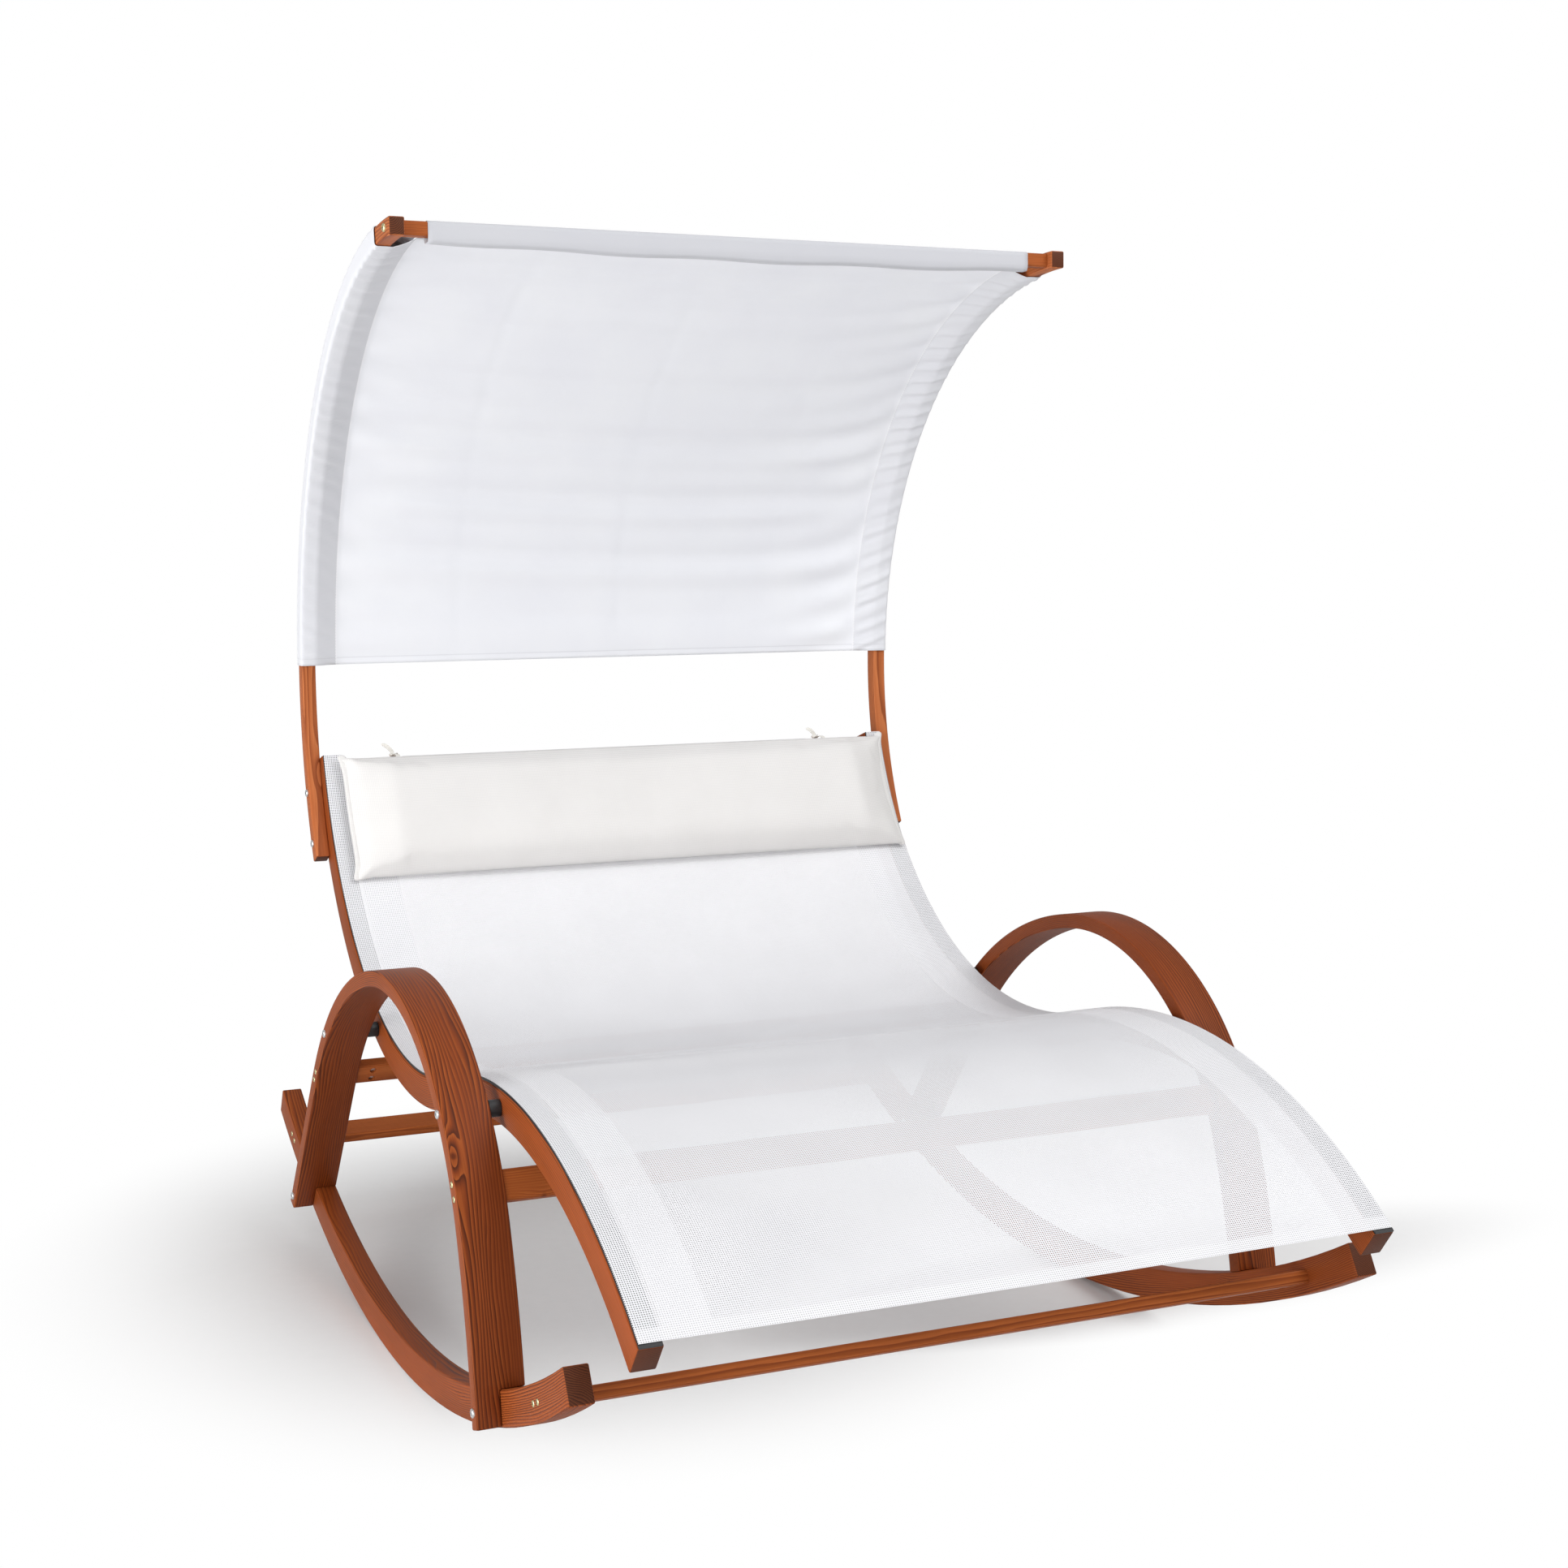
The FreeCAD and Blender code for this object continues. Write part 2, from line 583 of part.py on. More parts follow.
# Black spacers between rail and arch
def prism(name, sides, radius, length, at=0.0):
    """A many-sided bar along X from an X, with its corners on a circle."""
    made = doc.addObject("Part::Prism", name)
    made.Polygon = sides
    made.setExpression("Circumradius", radius)
    made.setExpression("Height", length)
    made.Placement = Placement(Vector(at, 0, 0), Rotation(Vector(0, 1, 0), 90))
    return made


def bored(name, outside, length, at=0.0):
    """A solid with a bolt hole along X through it."""
    made = doc.addObject("Part::Cut", name)
    made.Base = outside
    made.Tool = prism(f"{name}_bore", HOLE_SIDES, f"{HOLE_RADIUS} / cos({180 / HOLE_SIDES})", length, at)
    return made


for name, side in SIDES:
    for end_name, place in (("front", spacer_front), ("rear", spacer_rear)):
        label = f"{name}_{end_name}_spacer"
        outside = prism(f"{label}_outside", HEAD_SIDES, f"{dim('spacer_dia')} / 2", dim("arch_gap"))
        spacer = bored(label, outside, dim("arch_gap"))
        start_x = size("rail_outer") if side > 0 else -arch_inner
        spacer.Placement = Placement(place + Vector(start_x, 0, 0), Rotation())
        keep(spacer, label)


# Rockers: a section turned about the centre of the rocker's circle
front_angle = size("rocker_front_angle")
rocker_sweep = f"({dim('rocker_front_angle')} + {dim('rocker_rear_angle')})"
half_pair = math.degrees(size("pair_pitch") / 2 / rocker_middle)
rocker_bars = (
    ("rocker_front_crossbar", -size("rocker_bar_front_angle")),
    ("rocker_rear_crossbar", size("rocker_bar_rear_angle")),
)


def turned_down(centre, radius, angle):
    """A point on a circle square to X, at an angle from straight down towards the rear, in degrees."""
    return on_circle(centre, radius, angle - 90)


rocker_pairs = []
for bar_name, angle in rocker_bars:
    rocker_pairs += [
        turned_down(rocker_centre, rocker_middle, angle + shift) for shift in (-half_pair, half_pair)
    ]
for name, side in SIDES:
    rocker = new_body(f"{name}_rocker")
    low, high = across(side, ARCH_INNER, f"({ARCH_INNER} + {dim('rocker_width')})")
    add_revolution(rocker, "XZ_Plane", eased(
        low, high, f"-{dim('rocker_radius')}", f"({dim('rocker_depth')} - {dim('rocker_radius')})",
    ), rocker_sweep)
    rocker.Placement = Placement(rocker_centre, Rotation(X_AXIS, -front_angle))
    unturned = rocker.Placement.inverse()
    pairs = [unturned.multVec(p) for p in rocker_pairs]
    drill(rocker, [unturned.multVec(p) for p in (foot_front, foot_rear)] + pairs)
    sink_heads(rocker, side, rocker_outer, pairs, PAIR_HEAD_RADIUS, BARREL_SIDES, dim("pair_sink"))
    keep(rocker, f"{name}_rocker")


# Crossbars between the arches and between the rockers
def make_bar(label, place, turn, depth, thick, half_length, pitch=None):
    """A bevelled bar along X: bolt holes in both ends, blind holes for barrel nuts in its hidden face."""
    bar = new_body(label)
    bar.Placement = Placement(place, Rotation(X_AXIS, turn))
    section = new_sketch(bar, "YZ_Plane")
    add_polygon(section, eased(f"-({depth} / 2)", f"({depth} / 2)", f"-({thick} / 2)", f"({thick} / 2)"))
    add_pad(bar, section, f"2 * {half_length}")
    length = value(half_length)
    rows = (-size(pitch) / 2, size(pitch) / 2) if pitch else (0.0,)
    for name, side in SIDES:
        end = new_sketch(bar, "YZ_Plane", plane_at(side * length))
        for row in rows:
            add_facets(end, row, 0.0, HOLE_RADIUS, HOLE_SIDES)
        add_pocket(bar, end, f"{dim('barrel_inset')} + {dim('bolt_past')} + {dim('hole_clear')}", side < 0)
    barrels = new_sketch(bar, "XY_Plane", Placement(Vector(0, 0, -value(thick) / 2), Rotation()))
    for name, side in SIDES:
        for row in rows:
            add_facets(barrels, side * (length - size("barrel_inset")), row, BARREL_RADIUS, BARREL_SIDES)
    add_pocket(bar, barrels, f"({thick} + {dim('barrel_length')}) / 2 + {dim('seat_clear')}", True)
    return keep(bar, label)


for label, (centre, heading, pair) in zip(("arch_front_crossbar", "arch_rear_crossbar"), arch_pairs):
    make_bar(label, centre, math.degrees(heading),
             dim("bar_depth"), dim("bar_thick"), ARCH_INNER, "pair_pitch")
for label, angle in rocker_bars:
    make_bar(label, turned_down(rocker_centre, rocker_middle, angle), angle,
             dim("bar_depth"), dim("bar_thick"), ARCH_INNER, "pair_pitch")


# Canopy posts, bar and cloth, all on the posts' circle
post_low = f"({dim('canopy_radius')} - {dim('post_depth')} / 2)"
post_high = f"({dim('canopy_radius')} + {dim('post_depth')} / 2)"
bar_angle = high_angle + size("canopy_bar_turn")
canopy_bar_axis = on_circle(canopy_centre, size("canopy_radius"), bar_angle)
for name, side in SIDES:
    post = new_body(f"{name}_canopy_post")
    low, high = across(side, dim("rail_outer"), f"({dim('rail_outer')} + {dim('post_width')})")
    add_revolution(post, "XY_Plane", eased(low, high, post_low, post_high),
                   f"({dim('post_foot_turn')} + {high_angle - low_angle!r} + {dim('post_tip_turn')})")
    post.Placement = Placement(canopy_centre, Rotation(X_AXIS, low_angle - size("post_foot_turn")))
    unturned = post.Placement.inverse()
    drill(post, [unturned.multVec(p) for p in post_bolts + [canopy_bar_axis]])
    keep(post, f"{name}_canopy_post")
make_bar("canopy_crossbar", canopy_bar_axis, bar_angle, dim("canopy_bar_side"), dim("canopy_bar_side"),
         dim("rail_outer"))

cloth_start = high_angle + size("cloth_low_turn")
cloth = new_body("canopy_cloth")
cloth.Placement = Placement(canopy_centre, Rotation(X_AXIS, cloth_start))
middle = dim("canopy_radius")
thick = dim("cloth_thick")
slack = dim("cloth_ease")
stitch = f"({dim('rail_outer')} - {dim('stitch_inset')})"
fold = f"({dim('post_depth')} / 2 + {slack})"
inside = f"({dim('rail_outer')} - {slack})"
outside = f"({dim('rail_outer')} + {dim('post_width')} + {slack})"
right_edge = (
    (stitch, f"{middle} - {thick} / 2"), (inside, f"{middle} - {fold} - {thick}"),
    (f"{outside} + {thick}", f"{middle} - {fold} - {thick}"),
    (f"{outside} + {thick}", f"{middle} + {fold} + {thick}"),
    (inside, f"{middle} + {fold} + {thick}"), (stitch, f"{middle} + {thick} / 2"),
)
left_edge = tuple((f"-({x})", r) for x, r in reversed(right_edge))
right_hollow = (
    (f"{stitch} + {dim('stitch_width')}", middle),
    (inside, f"{middle} - {fold}"), (outside, f"{middle} - {fold}"),
    (outside, f"{middle} + {fold}"), (inside, f"{middle} + {fold}"),
)
left_hollow = tuple((f"-({x})", r) for x, r in reversed(right_hollow))
add_revolution(cloth, "XY_Plane", right_edge + left_edge,
               f"({dim('cloth_high_turn')} - {dim('cloth_low_turn')})", (right_hollow, left_hollow))
cloth_end = size("cloth_high_turn") - size("cloth_low_turn")
sleeve = dim("front_sleeve_half_length")
sleeve_half = size("canopy_bar_side") / 2 + size("cloth_ease") + size("cloth_thick")
sleeve_share = math.degrees((sleeve_half - size("cloth_thick") / 2) / size("canopy_radius"))
front_turn = size("canopy_bar_turn") - sleeve_share - size("cloth_high_turn")
add_revolution(cloth, "XY_Plane", (
    (f"-{sleeve}", f"{middle} - {thick} / 2"), (sleeve, f"{middle} - {thick} / 2"),
    (sleeve, f"{middle} + {thick} / 2"), (f"-{sleeve}", f"{middle} + {thick} / 2"),
), repr(front_turn), offset=Placement(Vector(), Rotation(X_AXIS, cloth_end)))
bar_turn = bar_angle - cloth_start
bar_spot = on_circle(Vector(), size("canopy_radius"), bar_turn)
front_sleeve = new_sketch(cloth, "YZ_Plane", Placement(
    Vector(bar_spot.y, bar_spot.z, 0), Rotation(Vector(0, 0, 1), bar_turn)))
for wall in (slack, f"{slack} + {thick}"):
    reach_out = f"({dim('canopy_bar_side')} / 2 + {wall})"
    add_polygon(front_sleeve, (
        (f"-{reach_out}", f"-{reach_out}"), (reach_out, f"-{reach_out}"),
        (reach_out, reach_out), (f"-{reach_out}", reach_out),
    ))
add_pad(cloth, front_sleeve, f"2 * {sleeve}")
keep(cloth, "canopy_cloth")


# Head pillow: a crowned cover lofted from its top seam to its bottom seam along the curve of the back
PILLOW_SECTIONS = (
    # share of the height from the top seam, shares of the crown behind and in front, share of the draw-in
    (0.00, 0.26, 0.26, 0.0),
    (0.06, 0.08, 0.60, 0.5),
    (0.18, 0.00, 0.88, 0.9),
    (0.36, 0.00, 0.99, 1.0),
    (0.55, 0.00, 1.00, 1.0),
    (0.76, 0.00, 0.92, 0.9),
    (0.92, 0.08, 0.66, 0.5),
    (1.00, 0.28, 0.28, 0.0),
)
SEAM_SHARE = PILLOW_SECTIONS[0][1]
pillow_lift = sling_lift + size("sling_thick") + size("run_clear")
seam_lift = pillow_lift + SEAM_SHARE * size("pillow_thick")


def pillow_outline(share, back, front, draw, wall=0.0):
    """One level outline of the pillow, inside a wall: flat behind, full in front, thin at both ends."""
    crown = size("pillow_thick")
    seam = size("pillow_seam")
    height = size("pillow_height")
    travel = top_bar_travel + size("pillow_rise") - wall - share * (height - 2 * wall)
    base = pillow_lift + back * crown
    top = max(pillow_lift + front * crown, base + seam)
    half = size("pillow_half_length") - draw * size("pillow_draw")
    slope = size("pillow_slope")
    edge = min(max(seam_lift, base), top - seam)
    stations = (
        (-half + wall, edge + wall), (-half + slope, base + wall),
        (half - slope, base + wall), (half - wall, edge + wall),
        (half - wall, edge + seam - wall), (half - slope, top - wall),
        (-half + slope, top - wall), (-half + wall, edge + seam - wall),
    )
    corners = [rail_path.at(travel, lift)[0] + Vector(x + size("pillow_shift"), 0, 0) for x, lift in stations]
    return Part.makePolygon(corners + corners[:1])


def pillow_form(wall):
    """The pillow's closed form inside a wall."""
    return Part.makeLoft([pillow_outline(*section, wall) for section in PILLOW_SECTIONS], True, True)


pillow = doc.addObject("Part::Feature", "head_pillow")
pillow.Shape = pillow_form(0.0).cut(pillow_form(size("pillow_wall")))
keep(pillow, "head_pillow")


# Pillow ties: a loop of tape round the top bar, a tongue to the pillow's top seam and a loose end
loop_inner = f"({dim('top_bar_dia')} / 2 + {dim('run_clear')})"
loop_outer = f"({loop_inner} + {dim('tie_thick')})"
tongue_low = f"({dim('pillow_rise')} + {dim('seat_clear')})"
tongue_high = f"({tongue_low} + {dim('tie_thick')})"
tongue_start = dim("tie_tongue_start")
tongue_end = repr(seam_lift + size("pillow_seam") + size("rail_depth") / 2)
tail_half = f"({dim('tie_thick')} / 2)"
tail_start = f"({loop_inner} + {tail_half})"
for name, side in SIDES:
    tie = new_body(f"{name}_pillow_tie")
    tie.Placement = Placement(
        top_bar_axis + Vector(side * size("tie_place"), 0, 0), Rotation(X_AXIS, math.degrees(back_pitch)))
    loop = new_sketch(tie, "YZ_Plane")
    add_facets(loop, 0.0, 0.0, loop_inner, HEAD_SIDES)
    add_facets(loop, 0.0, 0.0, loop_outer, HEAD_SIDES)
    add_pad(tie, loop, dim("tie_width"))
    tongue = new_sketch(tie, "YZ_Plane")
    add_polygon(tongue, (
        (tongue_low, tongue_start), (tongue_high, tongue_start),
        (tongue_high, tongue_end), (tongue_low, tongue_end),
    ))
    add_pad(tie, tongue, dim("tie_width"))
    tail = new_sketch(tie, "YZ_Plane")
    add_polygon(tail, (
        (tail_start, f"-{tail_half}"), (f"{tail_start} + {dim('tie_tail')}", f"-{tail_half}"),
        (f"{tail_start} + {dim('tie_tail')}", tail_half), (tail_start, tail_half),
    ))
    add_pad(tie, tail, dim("tie_width"))
    keep(tie, f"{name}_pillow_tie")


# Fasteners: one master each, copied to its places as one node of separate solids
def make_bolt(name, length, head_dia="bolt_head_dia", sides=HEAD_SIDES):
    """A bolt along +X with its head seated at X = 0."""
    head = dim("bolt_head_height")
    bolt = doc.addObject("Part::Fuse", name)
    bolt.Base = prism(f"{name}_head", sides, f"{dim(head_dia)} / 2", head, -value(head))
    bolt.Tool = prism(f"{name}_shank", HOLE_SIDES, f"{dim('bolt_dia')} / 2", length)
    return bolt


def make_nut(name):
    """A hexagon nut along +X from X = 0."""
    hexagon = prism(f"{name}_hexagon", 6, f"{dim('nut_across')} / 2 / cos(30)", dim("nut_height"))
    return bored(name, hexagon, dim("nut_height"))


def make_barrel(name, length):
    """A barrel nut along Z through the origin, with its bolt hole along X."""
    barrel = prism(f"{name}_round", BARREL_SIDES, f"{dim('barrel_dia')} / 2", length)
    upright = Rotation(Vector(0, 0, 1), 180 / BARREL_SIDES)
    barrel.Placement = Placement(Vector(0, 0, -value(length) / 2), upright)
    return bored(name, barrel, dim("barrel_dia"), -size("barrel_dia") / 2)


def scatter(label, master, places):
    """One node of copies of a master at placements."""
    doc.recompute()
    group = doc.addObject("Part::Feature", label)
    group.Shape = Part.makeCompound([master.Shape.copy().transformed(p.toMatrix()) for p in places])
    return keep(group, label)


def facing(side, x, point, turn=0.0):
    """A placement at an X on one side, with local +X towards the middle of the lounger."""
    inward = Rotation(X_AXIS, turn) * Rotation(Vector(0, 0, 1), 180 if side > 0 else 0)
    return Placement(point + Vector(side * x, 0, 0), inward)


def both(x, points):
    return [facing(side, x, point) for name, side in SIDES for point in points]


spacer_points = [spacer_front, spacer_rear]
foot_points = [foot_front, foot_rear]
arch_pair_points = [place for pair in arch_pairs for place in pair[2]]
nut_tail = dim("nut_height")
into_bar = f"{dim('barrel_inset')} + {dim('bolt_past')}"
scatter("spacer_bolts", make_bolt(
    "spacer_bolt", f"{dim('arch_width')} + {dim('arch_gap')} + {dim('rail_width')} + {nut_tail}",
), both(arch_outer, spacer_points))
scatter("foot_bolts", make_bolt(
    "foot_bolt", f"{dim('arch_width')} + {nut_tail}",
), both(arch_outer, foot_points))
scatter("post_bolts", make_bolt(
    "post_bolt", f"{dim('post_width')} + {dim('rail_width')} + {nut_tail}",
), both(post_outer, post_bolts))
sunk_into_bar = f"{into_bar} - {dim('pair_sink')}"
scatter("arch_bar_bolts", make_bolt(
    "arch_bar_bolt", f"{dim('arch_width')} + {sunk_into_bar}", "pair_head_dia", BARREL_SIDES,
), both(arch_outer - size("pair_sink"), arch_pair_points))
scatter("rocker_bar_bolts", make_bolt(
    "rocker_bar_bolt", f"{dim('rocker_width')} + {sunk_into_bar}", "pair_head_dia", BARREL_SIDES,
), both(rocker_outer - size("pair_sink"), rocker_pairs))
scatter("canopy_bar_bolts", make_bolt(
    "canopy_bar_bolt", f"{dim('post_width')} + {into_bar}",
), both(post_outer, [canopy_bar_axis]))
scatter("top_bar_screws", make_bolt(
    "top_bar_screw", f"{dim('rail_width')} - {dim('screw_sink')} + {dim('screw_grip')} - {dim('run_clear')}",
), both(size("rail_outer") - size("screw_sink"), [top_bar_axis]))

nut = make_nut("nut")
nut_places = both(rail_inner, spacer_points + post_bolts) + both(arch_inner, foot_points)
scatter("frame_nuts", nut, nut_places)
barrel = make_barrel("bar_nut", dim("barrel_length"))
barrel_rows = [(math.degrees(heading), pair) for centre, heading, pair in arch_pairs]
for row, (bar_name, angle) in enumerate(rocker_bars):
    barrel_rows.append((angle, rocker_pairs[2 * row:2 * row + 2]))
barrel_x = arch_inner - size("barrel_inset")
barrel_places = []
for turn, pair in barrel_rows:
    for name, side in SIDES:
        barrel_places += [facing(side, barrel_x, point, turn) for point in pair]
scatter("barrel_nuts", barrel, barrel_places)
canopy_barrel_x = size("rail_outer") - size("barrel_inset")
scatter("canopy_barrel_nuts", barrel, [
    facing(side, canopy_barrel_x, canopy_bar_axis, bar_angle) for name, side in SIDES
])


# Check every object and write each sub-part
doc.recompute()
for item in doc.Objects:
    if "Invalid" in item.State or "Error" in item.State:
        raise RuntimeError(f"{item.Label} failed: {item.State}")
for node in nodes:
    if node.Shape.isNull() or not node.Shape.isValid():
        raise RuntimeError(f"{node.Label} has no valid shape")

os.makedirs("parts", exist_ok=True)
for node in nodes:
    node.Shape.exportStep(f"parts/{node.Label}.step")
    print(f"{node.Label}: {len(node.Shape.Solids)} solids, {node.Shape.Volume / 1000:.1f} cm3")
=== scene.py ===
# %% [markdown]
# # A double rocking lounger with a canopy
#
# This lesson dresses the CAD model of a garden lounger for two. The straight bars, the black strips and
# the nuts keep their CAD shape and only get a better material. The bent wood, the cloth, the pillow and
# the bolts are modelled again, because grain, weave and folds need a mesh of their own.
# Sizes are in metres. X runs across the lounger, Y from the feet to the head and Z up.

from math import acos, atan2, copysign, cos, degrees, exp, pi, radians, sin, sqrt

import bpy
from mathutils import Euler, Matrix, Vector


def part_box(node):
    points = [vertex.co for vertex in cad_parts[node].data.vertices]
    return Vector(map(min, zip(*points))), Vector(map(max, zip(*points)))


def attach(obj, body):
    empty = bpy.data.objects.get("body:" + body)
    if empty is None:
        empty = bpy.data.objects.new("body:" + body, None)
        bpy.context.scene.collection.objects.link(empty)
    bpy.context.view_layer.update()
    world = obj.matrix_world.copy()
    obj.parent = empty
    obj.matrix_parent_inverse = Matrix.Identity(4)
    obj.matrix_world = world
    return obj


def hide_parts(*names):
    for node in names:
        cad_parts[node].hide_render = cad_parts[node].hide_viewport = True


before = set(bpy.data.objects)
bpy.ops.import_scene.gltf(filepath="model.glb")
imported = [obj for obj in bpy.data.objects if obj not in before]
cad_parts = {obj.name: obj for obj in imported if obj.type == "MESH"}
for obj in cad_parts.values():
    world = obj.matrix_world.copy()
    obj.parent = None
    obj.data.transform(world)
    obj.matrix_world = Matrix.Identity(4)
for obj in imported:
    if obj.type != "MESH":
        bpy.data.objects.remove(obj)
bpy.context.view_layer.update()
print("CAD nodes loaded:", len(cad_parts))

# %% [markdown]
# ## Camera
#
# The camera stands where the photographer stood: to the left of the feet, a little above the seat.
# The photo was taken with the lounger rocked forward by less than a degree, and the CAD model stands
# in its balance, so the camera leans by that angle instead of the furniture.

# %% Camera
PHOTO_AZIMUTH = radians(-24.03)
PHOTO_ELEVATION = radians(6.74)
PHOTO_LEAN = radians(-0.7275)
CAMERA_PLACE = (-1.6670, -3.8039, 1.5497)
CAMERA_LENS = 52.845

level_view = Euler((pi / 2 - PHOTO_ELEVATION, 0, PHOTO_AZIMUTH)).to_matrix()
leaned_view = Matrix.Rotation(PHOTO_LEAN, 3, "X") @ level_view
bpy.ops.object.camera_add(location=CAMERA_PLACE, rotation=leaned_view.to_euler())
camera = bpy.context.active_object
camera.data.lens = CAMERA_LENS
bpy.context.scene.camera = camera
bpy.context.scene.view_settings.view_transform = "Standard"
print("camera at", CAMERA_PLACE)

# %% [markdown]
# ## Materials from nodes
#
# Every material here is built from nodes. One helper adds a node, sets its options, and then either
# types a value into each input or links another node's output to it. The others are short names for the
# nodes that are used most. All of them work on the node tree that was opened last.

# %% Node helpers
opened = {}


def link(output, socket):
    opened["tree"].links.new(output, socket)


def add(kind, options=None, inputs=None):
    """Adds a shader node; an input given as a socket is linked, any other is typed in."""
    made = opened["tree"].nodes.new("ShaderNode" + kind)
    for name, option in (options or {}).items():
        setattr(made, name, option)
    for key, given in (inputs or {}).items():
        if isinstance(given, bpy.types.NodeSocket):
            link(given, made.inputs[key])
        else:
            made.inputs[key].default_value = given
    return made


def new_material(name, attribute=None):
    """A material, its shader, and the attribute or object coordinates it is drawn on."""
    material = bpy.data.materials.new(name)
    material.use_nodes = True
    opened["tree"] = material.node_tree
    if attribute:
        place = add("Attribute", {"attribute_name": attribute}).outputs["Vector"]
    else:
        place = add("TexCoord").outputs["Object"]
    return material, material.node_tree.nodes["Principled BSDF"], place


def calc(operation, *values):
    """A sum, product or other result of one to three values."""
    return add("Math", {"operation": operation}, dict(enumerate(values))).outputs[0]


def vector_node(operation, *vectors, output="Vector"):
    return add("VectorMath", {"operation": operation}, dict(enumerate(vectors))).outputs[output]


def stretched(vector, scale):
    """A vector scaled by a different amount along each axis."""
    return vector_node("MULTIPLY", vector, scale)


def noise(vector, scale, detail=2.0):
    """Noise as a value and as a colour; its scale is one number or one for each axis."""
    if isinstance(scale, tuple):
        vector = stretched(vector, scale)
        scale = 1.0
    made = add("TexNoise", None, {"Vector": vector, "Scale": scale, "Detail": detail})
    return made.outputs["Fac"], made.outputs["Color"]


# %% Ranges
def moved_range(value, start, end, low, high, kind="SMOOTHSTEP"):
    """A value that runs from start to end turned into one that runs from low to high."""
    limits = dict(enumerate((value, start, end, low, high)))
    return add("MapRange", {"interpolation_type": kind}, limits).outputs["Result"]


def spread(factor, low, high):
    """A value from 0 to 1 moved to lie between two others."""
    return moved_range(factor, 0.0, 1.0, low, high, "LINEAR")


def step_up(value, low, high):
    """0 below low, 1 above high and a soft step between."""
    return moved_range(value, low, high, 0.0, 1.0)


def step_down(value, low, high):
    """1 below low, 0 above high and a soft step between."""
    return moved_range(value, low, high, 1.0, 0.0)


# %% Colours
def seen(red, green, blue):
    """A colour as a picture shows it, turned into the light that a shader counts in."""
    return tuple(((part / 255 + 0.055) / 1.055) ** 2.4 for part in (red, green, blue))


def ramp(factor, stops):
    """A colour ramp with stops given as a place and a colour."""
    made = add("ValToRGB", None, {"Fac": factor})
    points = made.color_ramp.elements
    while len(points) < len(stops):
        points.new(0.5)
    for point, (place, colour) in zip(points, stops):
        point.position = place
        point.color = (*colour, 1)
    return made.outputs["Color"]


def two_tone(factor, first, second):
    """One colour up to 0.3, another from 0.7 on and a blend between."""
    return ramp(factor, ((0.3, first), (0.7, second)))


def mixed(mode, factor, first, second):
    """A colour mixed with a second one, which is a socket or three numbers."""
    if isinstance(second, tuple):
        second = (*second, 1)
    made = add("Mix", {"data_type": "RGBA", "blend_type": mode}, {0: factor, 6: first, 7: second})
    return made.outputs[2]


# %% Shaders
def dress(shader, colour, roughness, bump=None):
    """Links colour and roughness to a shader, and a bump given as height, strength and distance."""
    link(colour, shader.inputs["Base Color"])
    link(roughness, shader.inputs["Roughness"])
    if bump:
        made = add("Bump", None, dict(zip(("Height", "Strength", "Distance"), bump)))
        link(made.outputs["Normal"], shader.inputs["Normal"])


def blend_in(shader, other, share):
    """Shows a share of another shader in place of the material's own."""
    both = add("MixShader", None, {0: share, 1: shader.outputs[0], 2: other.outputs[0]})
    link(both.outputs[0], opened["tree"].nodes["Material Output"].inputs["Surface"])


# %% [markdown]
# ## Floor and light
#
# The picture has a plain white studio floor with a soft shadow. The floor is a big plane that takes the
# shadow near the lounger and fades to pure white further out, and only the camera sees that white.

# %% Floor
FLOOR_SIZE = 60.0
FLOOR_DROP = 0.0005
FLOOR_GRAIN = 40.0
FLOOR_STOPS = ((0.0, (0.79, 0.79, 0.79)), (1.0, (0.82, 0.82, 0.82)))
SHADE_UNDER = {"stretch": (1.0, 1.0, 1.0), "middle": (-0.2, 0.55, 0.0), "near": 0.4, "far": 1.2}
SHADE_FRONT = {"stretch": (0.25, 1.0, 1.0), "middle": (0.15, -0.05, 0.0), "near": 0.13, "far": 0.32}
SHADOW_LIFT = 0.02

bpy.ops.object.select_all(action="DESELECT")
bpy.ops.mesh.primitive_plane_add(size=FLOOR_SIZE, location=(0, 0, -FLOOR_DROP))
floor = bpy.context.active_object
floor.name = "studio_floor"
floor_paint, shader, place = new_material("studio_floor")
fades = []
for shade in (SHADE_UNDER, SHADE_FRONT):
    oval = stretched(place, shade["stretch"])
    away = vector_node("DISTANCE", oval, shade["middle"], output="Value")
    fades.append(step_up(away, shade["near"], shade["far"]))
grit = noise(place, FLOOR_GRAIN)[0]
dress(shader, ramp(grit, FLOOR_STOPS), spread(grit, 0.7, 0.8))
shader.inputs["Specular IOR Level"].default_value = 0.1
white = add("Emission", None, {"Color": (1, 1, 1, 1), "Strength": 1.0})
camera_ray = add("LightPath").outputs["Is Camera Ray"]
lifted = spread(calc("MINIMUM", *fades), SHADOW_LIFT, 1.0)
blend_in(shader, white, calc("MULTIPLY", lifted, camera_ray))
floor.data.materials.append(floor_paint)
print("floor of", FLOOR_SIZE, "m")

# %% Lights
SKY_STRENGTH = 0.5
LIGHT_SIZE = 3.0

world = bpy.data.worlds.new("studio")
bpy.context.scene.world = world
world.use_nodes = True
opened["tree"] = world.node_tree
backdrop = world.node_tree.nodes["Background"]
backdrop.inputs["Color"].default_value = (1, 1, 1, 1)
rays = add("LightPath")
shown = calc("MAXIMUM", rays.outputs["Is Camera Ray"], rays.outputs["Is Transmission Ray"])
link(spread(shown, SKY_STRENGTH, 1.0), backdrop.inputs["Strength"])


